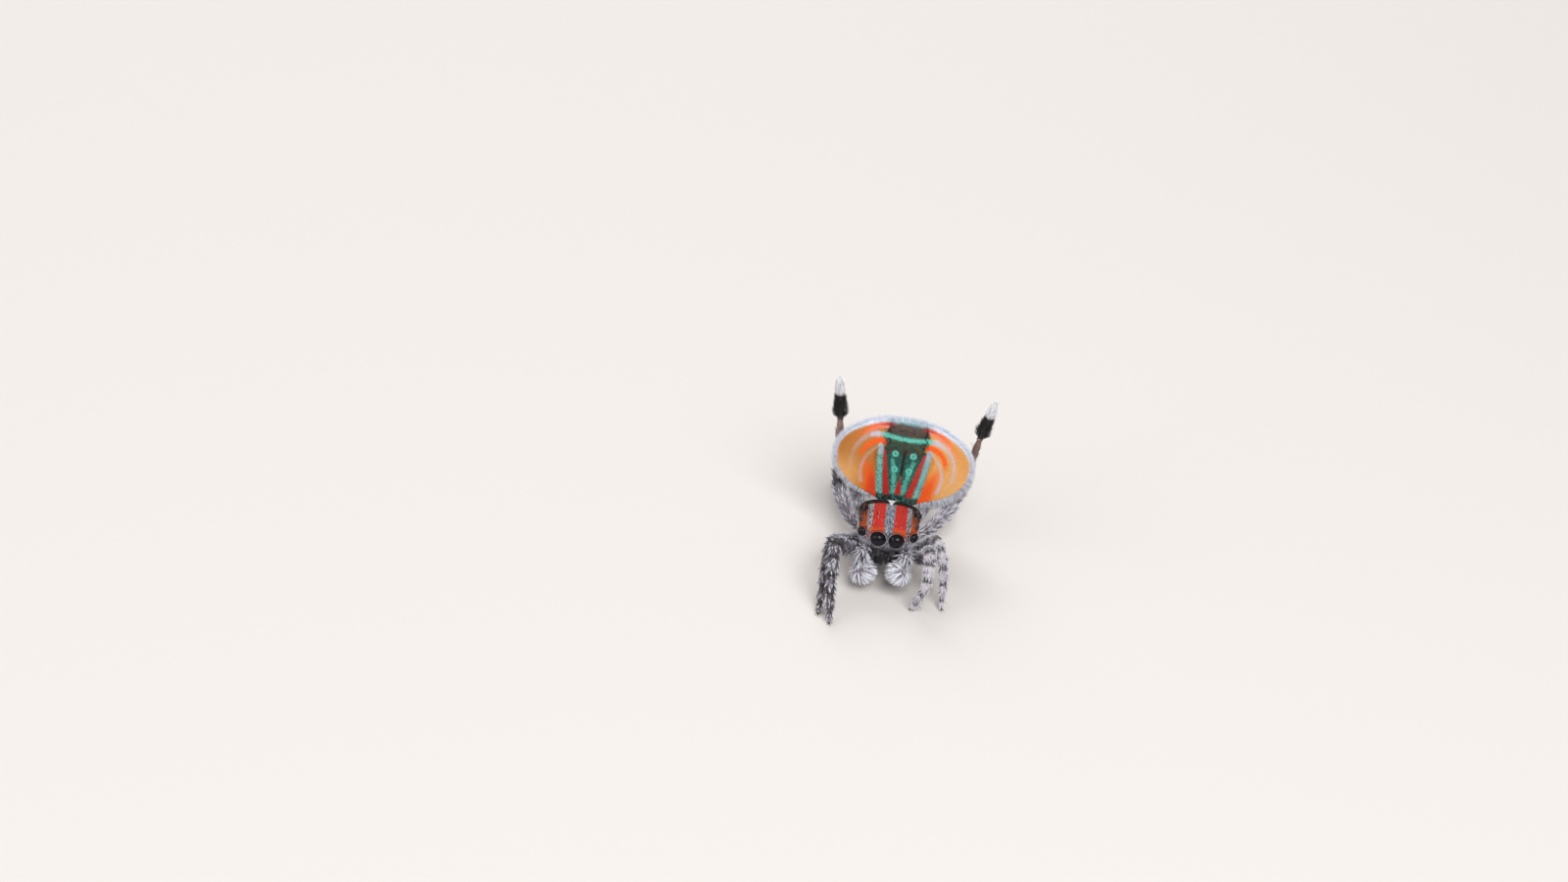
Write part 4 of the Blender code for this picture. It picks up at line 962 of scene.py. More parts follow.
deselect_all()
bpy.ops.mesh.primitive_uv_sphere_add(segments=DISC_SEGMENTS, ring_count=DISC_RINGS, radius=1.0)
fan = bpy.context.object
bpy.ops.object.mode_set(mode="EDIT")
bpy.ops.mesh.select_all(action="SELECT")
bpy.ops.mesh.bisect(plane_co=(0, 0, 0), plane_no=(0, 0, 1), clear_inner=True)
bpy.ops.object.mode_set(mode="OBJECT")
points = read_points(fan)
out_share = np.arccos(np.clip(points[:, 2], 0, 1)) / (np.pi / 2)
across, up = fan_disc(out_share, np.arctan2(points[:, 1], points[:, 0]) / (2 * np.pi) % 1.0)
groove = FOLD_DEPTH * np.exp(-(((np.abs(across) - ease(STRIP_EDGE, up)) / FOLD_WIDTH) ** 2))
write_points(fan, fan_point(across, up, FAN_FACE_DEPTH + groove))
fan_chance = np.random.default_rng(2)
# The fan's skin takes the fan's markings at 0.8 of their brightness: painted shade under the scales.
set_tint(fan.data, paint_fan(across, up, fan_chance) * 0.8)
wall = fan.modifiers.new("wall", "SOLIDIFY")
wall.thickness = FAN_SKIN_THICKNESS
wall.offset = -1.0
apply_modifiers(fan)
points = read_points(fan)
behind = (points - fan_point(*fan_disc(np.zeros(1), np.zeros(1)), 0.0)[0]) @ -fan_out
tints = np.empty(len(points) * 4, np.float32)
fan.data.color_attributes[TINT].data.foreach_get("color", tints)
tints = tints.reshape(-1, 4)[:, :3]
half = len(points) // 2
back_side = np.arange(len(points)) >= half
tints[back_side] = SOFT_SKIN * 1.3
set_tint(fan.data, tints)
hand_over(fan, "fan_skin", fan_skin_finish, "fan_flap", "fan_flap_left", "fan_flap_right", "fan_scute")


# %% [markdown]
# ## The eyes
# Each eye is a black glass dome. A ball is turned so that its pole looks out, the faces of the front cap are
# inset and pushed out a little, and that edge catches the light as the edge of the real lens does.

# %% Eyes
LENS_REACH = 0.63
eye_finish = bpy.data.materials.new("eye_glass")
eye_finish.use_nodes = True
eye_nodes, eye_links = eye_finish.node_tree.nodes, eye_finish.node_tree.links
eye_shader = eye_nodes["Principled BSDF"]
eye_shader.inputs["Roughness"].default_value = 0.04
eye_shader.inputs["IOR"].default_value = 1.5
eye_shader.inputs["Specular IOR Level"].default_value = 0.22
depth_noise = eye_nodes.new("ShaderNodeTexNoise")
depth_noise.inputs["Scale"].default_value = 1 / (0.25 * MM)
eye_place = eye_nodes.new("ShaderNodeTexCoord")
eye_links.new(eye_place.outputs["Object"], depth_noise.inputs["Vector"])
depth_ramp = eye_nodes.new("ShaderNodeValToRGB")
depth_ramp.color_ramp.elements[0].color = (0.002, 0.002, 0.003, 1)
depth_ramp.color_ramp.elements[1].color = (0.012, 0.010, 0.014, 1)
eye_links.new(depth_noise.outputs["Fac"], depth_ramp.inputs["Fac"])
eye_links.new(depth_ramp.outputs["Color"], eye_shader.inputs["Base Color"])

bpy.context.tool_settings.mesh_select_mode = (False, False, True)
for node, (centre, radius, looking) in eyes.items():
    deselect_all()
    bpy.ops.mesh.primitive_uv_sphere_add(
        segments=48, ring_count=32, radius=radius, location=centre,
        rotation=looking.to_track_quat("Z", "Y").to_euler(),
    )
    eye = bpy.context.object
    for face in eye.data.polygons:
        face.select = face.center.z > radius * LENS_REACH
    bpy.ops.object.mode_set(mode="EDIT")
    bpy.ops.mesh.inset(thickness=radius * 0.03, depth=radius * 0.02)
    bpy.ops.object.mode_set(mode="OBJECT")
    hand_over(eye, f"{node}_glass", eye_finish, "eye", node)


# %% [markdown]
# ## One hair and one scale
# The coat repeats two small shapes. Both start as a cone with three sides, cut by bisect into rings and swollen
# by resize. The hair is slim. The scale is broad in its middle and gets flat when it is planted. Their points
# are read once, and each copy is then only arithmetic on those points.


# %% Model the hair and the scale
def model_lock(cuts, swells):
    """Points and triangles of a closed lock from z = 0 to 1, with rings swollen to those radii."""
    deselect_all()
    bpy.ops.mesh.primitive_cone_add(vertices=3, radius1=1.0, radius2=0.0, depth=1.0, location=(0, 0, 0))
    cone = bpy.context.object
    bpy.ops.object.mode_set(mode="EDIT")
    for cut, swell in zip(cuts, swells):
        bpy.ops.mesh.select_all(action="SELECT")
        bpy.ops.mesh.bisect(plane_co=(0, 0, cut - 0.5), plane_no=(0, 0, 1))
        bpy.ops.transform.resize(value=(swell / (1 - cut), swell / (1 - cut), 1.0))
    bpy.ops.mesh.select_all(action="SELECT")
    bpy.ops.mesh.quads_convert_to_tris()
    bpy.ops.object.mode_set(mode="OBJECT")
    points = read_points(cone) + (0, 0, 0.5)
    cone.data.calc_loop_triangles()
    faces = np.array([triangle.vertices for triangle in cone.data.loop_triangles])
    bpy.data.objects.remove(cone)
    return points, faces


HAIR = model_lock((0.45,), (0.75,))
LONG_HAIR = model_lock((0.35, 0.70), (1.0, 0.65))
SCALE = model_lock((0.50,), (1.25,))
print("hair:", len(HAIR[1]), "long hair:", len(LONG_HAIR[1]), "scale:", len(SCALE[1]), "triangles each")


# %% [markdown]
# ## Planting
# A coat piece gathers batches of locks and builds them as one mesh. For a batch it gets a surface, the roots as
# u and v, and the lie of the hair: how far it leans off the surface and which way it points. Hairs come in
# clumps that share a tip, which gives the bright and dark streaks of a real coat. Each lock is also given a small
# patch on a flat map of the surface, at its root's place, so that its colours can be baked.

# %% Coat pieces
FLOOR_CLEAR = 0.012
PATCH_SIZE = 0.003
TILE_COLUMNS = 4
TILE_MARGIN = 0.03


def surface_frame(surface, u, v, axis_samples=6):
    """Points on a surface with the way along it, the way round it and the way out of it."""
    step = 2e-3
    points = surface(u, v)
    along = unit(surface(np.minimum(u + step, 1), v) - surface(np.maximum(u - step, 0), v))
    around = unit(surface(u, v + step) - surface(u, v - step))
    out = unit(np.cross(along, around))
    middle = np.mean([surface(u, v + turn / axis_samples) for turn in range(axis_samples)], axis=0)
    flip = np.sign(np.sum(np.sum((points - middle) * out, axis=-1))) or 1.0
    return points, along, around, out * flip


def rows(surface, chance, row_step, item_step, u_span=(0.0, 1.0), v_span=(0.0, 1.0), jitter=0.4):
    """Roots in staggered rows at even real distances over a surface, as u and v."""
    fine = np.linspace(*u_span, 240)
    probe = np.mean([np.linalg.norm(np.diff(surface(fine, np.full(240, turn)), axis=0), axis=1)
                     for turn in np.linspace(*v_span, 8)], axis=0)
    run = np.concatenate([[0.0], np.cumsum(probe)])
    round_fine = np.linspace(*v_span, 73)
    found_u, found_v = [], []
    for number in range(int(run[-1] / row_step)):
        u = np.interp((number + 0.5) * row_step, run, fine)
        ring = surface(np.full(73, u), round_fine)
        lengths = np.concatenate([[0.0], np.cumsum(np.linalg.norm(np.diff(ring, axis=0), axis=1))])
        items = int(lengths[-1] / item_step)
        if items < 2:
            continue
        spots = (np.arange(items) + 0.25 + 0.5 * (number % 2)) * item_step
        spots = spots + chance.uniform(-jitter, jitter, items) * item_step
        shift = chance.uniform(-jitter, jitter, items) * row_step
        found_u.append(np.interp((number + 0.5) * row_step + shift, run, fine))
        found_v.append(np.interp(spots % lengths[-1], lengths, round_fine))
    return np.concatenate(found_u), np.concatenate(found_v)


class Coat:
    """Locks of one piece, gathered in batches."""

    def __init__(self, name, seed):
        self.name = name
        self.chance = np.random.default_rng(seed)
        self.batches = []
        self.tile = 0

    def add(self, model, roots, ways, outs, length, width, thickness, tints, flat,
            bend=0.0, bulge=0.0, root_light=0.7, tip_light=1.0, vary=0.2, shades=0.15):
        """Plants locks at roots. flat is each root's place on the surface's own map, 0 to 1 both ways."""
        count = len(roots)
        shape, faces = model
        ways = unit(ways)
        length = np.broadcast_to(length, count) * self.chance.uniform(1 - vary, 1 + vary, count)
        width = np.broadcast_to(width, count) * self.chance.uniform(1 - vary, 1 + vary, count)
        across = unit(np.cross(outs, ways))
        out = np.cross(ways, across)
        tips = roots + ways * length[:, None]
        keep = (tips[:, 2] > FLOOR_CLEAR - SHIFT.z) & (roots[:, 2] > 0.0)
        reach = shape[:, 2]
        curve = np.broadcast_to(bend, count)[:, None] * reach**2 + bulge * 4 * reach * (1 - reach)
        bends = length[:, None] * curve
        points = (
            roots[:, None]
            + across[:, None] * (width[:, None] * shape[:, 0])[..., None]
            + out[:, None] * (np.broadcast_to(thickness, count)[:, None] * shape[:, 1] + bends)[..., None]
            + ways[:, None] * (length[:, None] * reach)[..., None]
        )
        light = self.chance.uniform(1 - shades, 1 + shades, count)[:, None, None]
        # Each lock is painted darker towards its root by root_light and brighter at its tip by tip_light: painted shade
        # deep in the coat and painted light on the tips.
        colours = tints[:, None] * light * np.interp(reach, (0, 0.4, 1), (root_light, 1, tip_light))[None, :, None]
        column, row = self.tile % TILE_COLUMNS, self.tile // TILE_COLUMNS
        scale = (1 - 2 * TILE_MARGIN) / TILE_COLUMNS
        corner = (np.array((column, row)) + TILE_MARGIN) / TILE_COLUMNS
        patch = np.stack([shape[:, 0] * 0.4, reach - 0.5], axis=-1) * PATCH_SIZE
        flat_points = corner + flat[:, None] * scale + patch[None]
        self.batches.append((points[keep], faces, colours[keep], flat_points[keep]))

    def clumps(self, surface, u, v, hairs, spread, gather, lean, length, width, tints,
               lie=(1.0, 0.0), sway=0.2, model=None, **how):
        """Plants clumps of hairs over a surface: several roots spread round each spot, leaning to one tip."""
        chance = self.chance
        count = len(u)
        points, along, around, out = surface_frame(surface, u, v)
        lean = np.radians(np.broadcast_to(lean, count) + chance.uniform(-6, 6, count))[:, None]
        lie = np.broadcast_to(np.asarray(lie, float), (count, 2))
        flow = along * lie[:, :1] + around * lie[:, 1:] + np.cross(out, along) * chance.normal(0, sway, (count, 1))
        ways = unit(flow) * np.cos(lean) + out * np.sin(lean)
        length = np.broadcast_to(length, count) * chance.uniform(0.85, 1.15, count)
        pick = np.repeat(np.arange(count), hairs)
        offset = (
            along[pick] * chance.uniform(-spread, spread, (len(pick), 1))
            + around[pick] * chance.uniform(-spread, spread, (len(pick), 1))
        )
        sunk = 0.012
        roots = points[pick] + offset - out[pick] * sunk
        tips = points[pick] + ways[pick] * length[pick, None] + offset * (1 - gather)
        flat = np.stack([u[pick], v[pick]], axis=-1)
        self.add(
            model or HAIR, roots, tips - roots, out[pick], np.linalg.norm(tips - roots, axis=1),
            np.broadcast_to(width, count)[pick], how.pop("thickness", np.broadcast_to(width, count)[pick] * 0.6),
            tints[pick], flat, **how,
        )

    def next_tile(self):
        self.tile += 1

    def build(self, material, slot):
        starts = np.cumsum([0] + [points.shape[0] * points.shape[1] for points, _, _, _ in self.batches])
        all_faces = []
        for (points, faces, _, _), start in zip(self.batches, starts):
            copies = start + np.arange(points.shape[0])[:, None, None] * points.shape[1]
            all_faces.append((faces[None] + copies).reshape(-1, 3))
        faces = np.concatenate(all_faces).astype(np.int32)
        points = np.concatenate([batch[0].reshape(-1, 3) for batch in self.batches])
        colours = np.concatenate([batch[2].reshape(-1, 3) for batch in self.batches])
        flat = np.concatenate([batch[3].reshape(-1, 2) for batch in self.batches])
        mesh = bpy.data.meshes.new(self.name)
        mesh.vertices.add(len(points))
        mesh.vertices.foreach_set("co", points.astype(np.float32).ravel())
        mesh.loops.add(faces.size)
        mesh.loops.foreach_set("vertex_index", faces.ravel())
        mesh.polygons.add(len(faces))
        mesh.polygons.foreach_set("loop_start", np.arange(len(faces), dtype=np.int32) * 3)
        mesh.update(calc_edges=True)
        set_tint(mesh, np.clip(colours, 0, 1))
        layer = mesh.uv_layers.new(name="OFBake")
        layer.data.foreach_set("uv", flat[faces.ravel()].astype(np.float32).ravel())
        thing = bpy.data.objects.new(self.name, mesh)
        bpy.context.scene.collection.objects.link(thing)
        return hand_over(thing, self.name, material, slot)


# %% [markdown]
# ## Scales on the fan
# Scales lie like roof tiles from the strip's foot up and out to the rim. They are finest on the strip. The rows
# are laid as a grid over the fan's outline, each scale turned along the lie, and painted by the fan's markings.


# %% Fan scales
def fan_grid(chance, step, inside):
    """Staggered places across and up the fan, where inside says so."""
    columns = np.arange(-FAN_HALF_WIDTH, FAN_HALF_WIDTH, step)
    lines = np.arange(-FAN_HALF_HEIGHT - FOOT_DROP, FAN_HALF_HEIGHT, step * 0.9)
    across, up = (grid.ravel() for grid in np.meshgrid(columns, lines))
    across = across + step * 0.5 * (np.round((up - lines[0]) / (step * 0.9)) % 2)
    across = across + chance.uniform(-0.25, 0.25, len(across)) * step
    up = up + chance.uniform(-0.25, 0.25, len(up)) * step
    keep = (rim_share(across, up) < 0.995) & inside(across, up)
    return across[keep], up[keep]


def add_fan_scales(coat, across, up, length, width, tilt):
    """Scales on the fan's face, pointing away from the strip's foot."""
    chance = coat.chance
    step = 0.004
    points = fan_point(across, up, FAN_FACE_DEPTH)
    along_across = unit(fan_point(across + step, up, FAN_FACE_DEPTH) - points)
    along_up = unit(fan_point(across, up + step, FAN_FACE_DEPTH) - points)
    out = unit(np.cross(along_across, along_up))
    out = out * np.sign(out @ fan_out)[:, None]
    fan_out_angle = np.arctan2(across * 1.1, up + 1.6) + chance.normal(0, 0.12, len(across))
    flow = along_across * np.sin(fan_out_angle)[:, None] + along_up * np.cos(fan_out_angle)[:, None]
    lift = np.radians(tilt + chance.uniform(-4, 4, len(across)))[:, None]
    ways = flow * np.cos(lift) + out * np.sin(lift)
    flat = np.stack([across / FAN_HALF_WIDTH, up / FAN_HALF_WIDTH], axis=-1) * 0.5 + 0.5
    tints = paint_fan(across, up, chance)
    coat.add(SCALE, points - out * 0.004, ways, out, length, width, width * 0.32, tints, flat, shades=0.10)


STRIP_SCALE_STEP = 0.021
FLAP_SCALE_STEP = 0.0255
strip_coat = Coat("strip_scales", 11)
across, up = fan_grid(strip_coat.chance, STRIP_SCALE_STEP, lambda a, b: np.abs(a) < ease(STRIP_EDGE, b) + 0.02)
add_fan_scales(strip_coat, across, up, 0.040, 0.0105, 9)
strip_coat.build(strip_scale_finish, "fan_scute")

flap_coat = Coat("flap_scales", 12)
across, up = fan_grid(flap_coat.chance, FLAP_SCALE_STEP, lambda a, b: np.abs(a) > ease(STRIP_EDGE, b) + 0.01)
add_fan_scales(flap_coat, across, up, 0.052, 0.0145, 6)
flap_coat.build(flap_scale_finish, "fan_flap")


# %% [markdown]
# ## The fringe
# White hairs stand out all round the rim, short and bluish at the top, longer and loose at the sides and below.
# They grow from just inside the rim, at random depths through its thickness, in the plane of the fan, and droop a
# little.

# %% Fringe
FRINGE_HAIRS = 11000
BARE_FOOT = 0.38

fringe = Coat("fan_fringe", 13)
chance = fringe.chance
turn_share = chance.random(FRINGE_HAIRS)
side, rise = round_about(turn_share)
kept = (rise > -0.6) | (np.abs(side) > BARE_FOOT * chance.uniform(0.7, 1.2, FRINGE_HAIRS))
turn_share, side, rise = turn_share[kept], side[kept], rise[kept]
count = len(turn_share)
low = smooth_step(0.25, -0.55, rise)
high = smooth_step(0.2, 0.9, rise)
inset = 1 - (0.008 + (0.022 + 0.033 * high) * chance.random(count))
across, up = fan_disc(inset, turn_share)
spray = np.stack([across / FAN_HALF_WIDTH**2, up / FAN_HALF_HEIGHT**2], axis=-1)
spray = unit(spray) + chance.normal(0, 0.13 + 0.10 * low[:, None], (count, 2)) + (0, -0.25) * low[:, None]
length = 0.105 + 0.03 * np.abs(side) + (0.065 + 0.035 * np.sign(side)) * low
depth = FAN_FACE_DEPTH + chance.uniform(0.0, FAN_SKIN_THICKNESS, count)
roots = fan_point(across, up, depth)
swerve = chance.normal(-0.004, 0.014, count)
aims = fan_point(across + spray[:, 0] * 0.05, up + spray[:, 1] * 0.05, depth + swerve)
white = choose(chance, count, (RIM_WHITE, 0.72), (RIM_BLUE, 0.20), (LILAC, 0.08))
low_hair = choose(chance, count, (RIM_WHITE, 0.66), (HAIR_GREY, 0.24), (HAIR_DARK, 0.10))
tints = np.where((chance.random(count) < low)[:, None], low_hair, white)
flat = np.stack([across / FAN_HALF_WIDTH, up / FAN_HALF_WIDTH], axis=-1) * 0.5 + 0.5
fringe.add(LONG_HAIR, roots, aims - roots, np.tile(fan_out, (count, 1)), length, 0.0028, 0.0026, tints, flat,
           bend=-0.05, root_light=1.0, tip_light=1.1, vary=0.35)
fringe.build(hair_finish, "fan_flap")

# %% [markdown]
# ## Hair on the fan's back and on the abdomen
# Behind, the fan is pale and bare but for short white hair. The abdomen has a coat of grey and white hair that
# lies towards its tip.

# %% Back of the fan, and abdomen
back = Coat("fan_back_hair", 14)
u, v = rows(fan_back, back.chance, 0.05, 0.05, u_span=(0.05, 0.98))
tints = choose(back.chance, len(u), (HAIR_WHITE, 0.75), (HAIR_GREY, 0.25))
points, along, around, out = surface_frame(fan_back, u, v)
away = np.tile(-fan_out, (len(u), 1))
flat = np.stack(fan_disc(u, v), axis=-1) / FAN_HALF_WIDTH * 0.5 + 0.5
for _ in range(2):
    ways = along * 0.93 + away * 0.3 + back.chance.normal(0, 0.15, along.shape)
    shift = around * back.chance.uniform(-0.02, 0.02, (len(u), 1))
    back.add(HAIR, points + shift, ways, away, 0.10, 0.006, 0.004, tints, flat, bend=-0.05)
back.build(hair_finish, "fan_flap")

belly = Coat("abdomen_hair", 15)
u, v = rows(abdomen, belly.chance, 0.050, 0.050, u_span=(0.02, 0.98))
points = abdomen(u, v)
open_air = (points - FAN_CENTRE) @ -fan_out > FAN_FACE_DEPTH + FAN_SKIN_THICKNESS + 0.05
u, v = u[open_air], v[open_air]
tints = choose(belly.chance, len(u), (HAIR_WHITE, 0.38), (HAIR_GREY, 0.42), (HAIR_DARK, 0.20))
belly.clumps(abdomen, u, v, 4, 0.022, 0.6, 22, 0.19, 0.0062, tints, bend=-0.10, tip_light=1.2)
belly.build(hair_finish, "abdomen")


# %% [markdown]
# ## Scales and hair on the head
# The head's scales are short and lie backwards from the face. They carry the red and blue-grey stripes. A few
# fine upright hairs stand among them.


# %% Head scales
def off_eyes(points, margin):
    """True where a point lies at least that margin beside every eye."""
    clear = np.ones(len(points), bool)
    for centre, radius, looking in eyes.values():
        offset = points - np.array(centre)
        depth = offset @ np.array(looking)
        beside = np.linalg.norm(offset - depth[:, None] * np.array(looking), axis=1)
        away = np.linalg.norm(offset, axis=1)
        clear &= (beside > radius + margin) | (away > 2 * radius) | ((depth < 0) & (away > radius + 0.012))
    return clear


STANDING_HAIRS = 200
head = Coat("head_scales", 16)
u, v = rows(shield, head.chance, 0.0215, 0.0185, u_span=(0.006, 0.99), v_span=(-0.10, 0.60))
points, along, around, out = surface_frame(shield, u, v)
clear = off_eyes(points, 0.022)
points, along, around, out, u, v = (values[clear] for values in (points, along, around, out, u, v))
lift = np.radians(head.chance.uniform(8, 24, len(u)))[:, None]
ways = unit(along + around * head.chance.normal(0, 0.2, (len(u), 1))) * np.cos(lift) + out * np.sin(lift)
head.add(SCALE, points - out * 0.004, ways, out, 0.044, 0.0085, 0.0035, paint_head(points, head.chance),
         np.stack([u, v], axis=-1), shades=0.10)
chance = head.chance
white = in_triangle(points)
for _ in range(3):
    shift = chance.uniform(-0.009, 0.009, (int(white.sum()), 2)) @ np.array(((1.0, 0, 0), (0, 1.0, 0)))
    head.add(SCALE, (points + out * 0.003)[white] + shift, ways[white], out[white], 0.036, 0.0085, 0.0035,
             plain(WHITE)(None, shift), np.stack([u, v], axis=-1)[white], shades=0.05)
head.next_tile()
near_eye = np.full(len(u), np.inf)
for node, (centre, radius, looking) in eyes.items():
    if node.startswith("eye_front"):
        offset = points - np.array(centre)
        near_eye = np.where(offset[:, 2] > 0, np.minimum(near_eye, np.linalg.norm(offset, axis=1) - radius), near_eye)
brows = (near_eye < 0.11) & (np.abs(points[:, 0]) > 0.09)
count = int(brows.sum())
ways = np.stack([chance.normal(0, 0.2, count), np.full(count, -0.80), chance.uniform(-0.2, 0.4, count)], axis=-1)
brow_tints = choose(chance, count, (ORANGE, 0.65), (RUST, 0.30), (DARK_BROWN, 0.05))
head.add(HAIR, points[brows] - out[brows] * 0.006, ways, out[brows], 0.060, 0.0045, 0.004, brow_tints,
         np.stack([u, v], axis=-1)[brows], bend=-0.2, root_light=1.0)
head.next_tile()
standing = head.chance.choice(len(u), STANDING_HAIRS, replace=False)
ways = out[standing] + along[standing] * 0.6 + head.chance.normal(0, 0.25, (STANDING_HAIRS, 3))
standing_tints = choose(head.chance, STANDING_HAIRS, (HAIR_DARK, 0.6), (HAIR_WHITE, 0.4))
head.add(HAIR, points[standing], ways, out[standing], 0.09, 0.003, 0.0025, standing_tints,
         np.stack([u, v], axis=-1)[standing], bend=-0.2)
head.build(head_scale_finish, "carapace")

# %% [markdown]
# ## The face
# Below the front eyes hangs a curtain of lilac-grey hair, whiter at the lower sides, over the black jaws. A ring
# of pale hairs frames each front eye. The smallest hairs are here, because the face is what one looks at first.

# %% Face hair
face = Coat("face_hair", 17)
chance = face.chance
u, v = rows(shield, chance, 0.030, 0.030, u_span=(0.002, 0.86), v_span=(0.50, 1.0))
points, along, around, out = surface_frame(shield, u, v)
curtain = smooth_step(0.36, 0.50, u)
keep = (points[:, 2] > 0.92 - 0.10 * curtain) & (points[:, 2] < 1.30 - 0.22 * curtain) & off_eyes(points, 0.015)
keep &= chance.random(len(u)) > 0.35 * curtain
u, v, points, out = u[keep], v[keep], points[keep], out[keep]
fall = np.stack([points[:, 0] * -0.35, np.full(len(u), -0.30), np.full(len(u), -0.95)], axis=-1)
sides = smooth_step(0.42, 0.66, np.abs(points[:, 0]))
face_tints = mix(
    choose(chance, len(u), (HAIR_GREY * 0.7, 0.5), (HAIR_WHITE * 0.6, 0.2), (HAIR_DARK, 0.3)),
    choose(chance, len(u), (HAIR_WHITE, 0.85), (HAIR_GREY, 0.15)), sides)
for _ in range(4):
    ways = fall + out * 0.50 + chance.normal(0, 0.14, fall.shape)
    shift = chance.uniform(-0.016, 0.016, fall.shape)
    length = 0.13 + 0.05 * sides + 0.12 * smooth_step(1.12, 1.00, points[:, 2])
    face.add(HAIR, points + shift * (1, 0.3, 1) - out * 0.01, ways, out, length, 0.0046, 0.004,
             face_tints, np.stack([u, v], axis=-1), bend=-0.15, root_light=0.45, tip_light=1.2)
face.next_tile()
u, v = rows(shield, chance, 0.026, 0.026, u_span=(0.002, 0.14), v_span=(0.0, 0.5))
points, along, around, out = surface_frame(shield, u, v)
front = (out[:, 1] < -0.45) & (points[:, 2] < 1.50) & off_eyes(points, 0.020)
u, v, points, out = u[front], v[front], points[front], out[front]
tints = choose(chance, len(u), (HAIR_GREY * 0.8, 0.55), (HAIR_WHITE * 0.8, 0.30), (HAIR_DARK, 0.15))
face.add(HAIR, points - out * 0.01, out * 0.7 + (0, 0, -0.7) + chance.normal(0, 0.2, points.shape), out,
         0.06, 0.0046, 0.004, tints, np.stack([u, v], axis=-1), bend=-0.1, tip_light=1.2)
face.next_tile()
for node, (centre, radius, looking) in eyes.items():
    front_row = node.startswith("eye_front")
    lashes = int((1700 if front_row else 700) * radius)
    turns = (np.arange(lashes) + chance.uniform(-0.4, 0.4, lashes)) / lashes
    first = np.array(looking.orthogonal().normalized())
    second = np.cross(np.array(looking), first)
    cosine, sine = (part[:, None] for part in round_about(turns))
    spoke = first * cosine + second * sine
    rim = EYE_COLLAR[node.rsplit("_", 1)[0]]
    root_reach = radius + rim * (0.45 if front_row else 1.1)
    roots = np.array(centre) + np.array(looking) * (radius * 0.15 + rim * 0.9) + spoke * root_reach
    pale = choose(chance, lashes, (HAIR_WHITE * 0.8, 0.5), (HAIR_GREY, 0.5))
    warm = choose(chance, lashes, (ORANGE * 0.8, 0.5), (RUST, 0.5))
    above = (spoke[:, 2] > 0.55) & (np.abs(roots[:, 0]) > 0.12)
    pale = np.where(above[:, None], warm, pale) if front_row else warm * 0.35
    stand = 0.20 if front_row else 0.05
    ways = spoke * 0.7 + np.array(looking) * stand + chance.normal(0, 0.25, spoke.shape)
    face.add(HAIR, roots, ways, np.tile(np.array(looking), (lashes, 1)), 0.040, 0.0038, 0.003, pale,
             np.stack([turns, np.full(lashes, 0.5)], axis=-1), bend=0.1, root_light=1.0, tip_light=1.1)
    face.next_tile()
face.build(hair_finish, "carapace")


# %% [markdown]
# ## Hair on the legs
# Clumps of hair lie along each leg towards its foot, in rows about 0.06 mm apart. They stand out most on the
# thighs and around the knees, and thin out at the dark rings. Long dark spines stand on the shins.


# %% Leg hair
SPINES_PER_SHIN = 7
SHAGGINESS = {"leg1_right": 1.0, "leg2_right": 0.95, "leg1_left": 0.72, "leg2_left": 0.72}


def dress_leg(coat, leg):
    chance = coat.chance
    raised = leg.name.startswith("leg3")
    shag = SHAGGINESS.get(leg.name, 0.9)
    u, v = rows(leg.surface, chance, 0.048, 0.046, u_span=(0.05, 0.995))
    distance = u * leg.length
    share = leg.segment_share(distance)
    keep = chance.random(len(u)) > 0.25 * smooth_step(0.80, 0.95, share)
    if raised:
        keep &= distance < leg.ankle + 0.08
        keep &= (distance < leg.ankle - 0.6) | (chance.random(len(u)) < 0.6)
    u, v, distance, share = u[keep], v[keep], distance[keep], share[keep]
    thigh = smooth_step(leg.knee + 0.1, leg.knee - 0.3, distance)
    foot = smooth_step(0.80 * leg.length, leg.length, distance)
    in_ring = ring_share(leg, share) * (1 - thigh)
    length = shag * (0.140 + 0.030 * thigh - 0.040 * foot) * (1 - 0.50 * in_ring)
    lean = 24 + 10 * smooth_step(0.2, 0.7, share) * (1 - in_ring) - 6 * foot
    if raised:
        bare = smooth_step(leg.ankle - 0.9, leg.ankle - 0.5, distance)
        length = length * (1 - 0.35 * bare)
        lean = lean - 10 * bare - 4 * thigh
    coat.clumps(leg.surface, u, v, 5, 0.022, 0.55, lean, length, 0.0050, paint_leg_hair(leg, distance, chance),
                bend=-0.06, bulge=0.05, root_light=0.45, tip_light=1.3)
    count = SPINES_PER_SHIN
    shares = np.linspace(leg.knee + 0.15, (leg.ankle if raised else leg.length) - 0.25, count) / leg.length
    coat.clumps(leg.surface, shares, chance.random(count), 1, 0.001, 0.0, 42, 0.15 if raised else 0.20, 0.007,
                choose(chance, count, (HAIR_DARK, 0.7), (STALK_BROWN, 0.3)), bend=-0.10, model=LONG_HAIR)
    coat.next_tile()


for coat_name, seed, leg_names in (
    ("front_leg_hair", 21, ("leg1_right", "leg1_left", "leg2_right", "leg2_left")),
    ("rear_leg_hair", 22, ("leg3_right", "leg3_left", "leg4_right", "leg4_left")),
):
    leg_coat = Coat(coat_name, seed)
    for leg_name in leg_names:
        dress_leg(leg_coat, legs[leg_name])
    leg_coat.build(hair_finish, "leg_shin")

# %% [markdown]
# ## The brushes of the third legs
# The end of each raised leg is a bottle brush: black hair all round the last but one segment, and pure white hair
# round the tip. The hairs start close to the leg, bulge out and bend back to it, so that each brush is a smooth
# paddle with a rounded end.

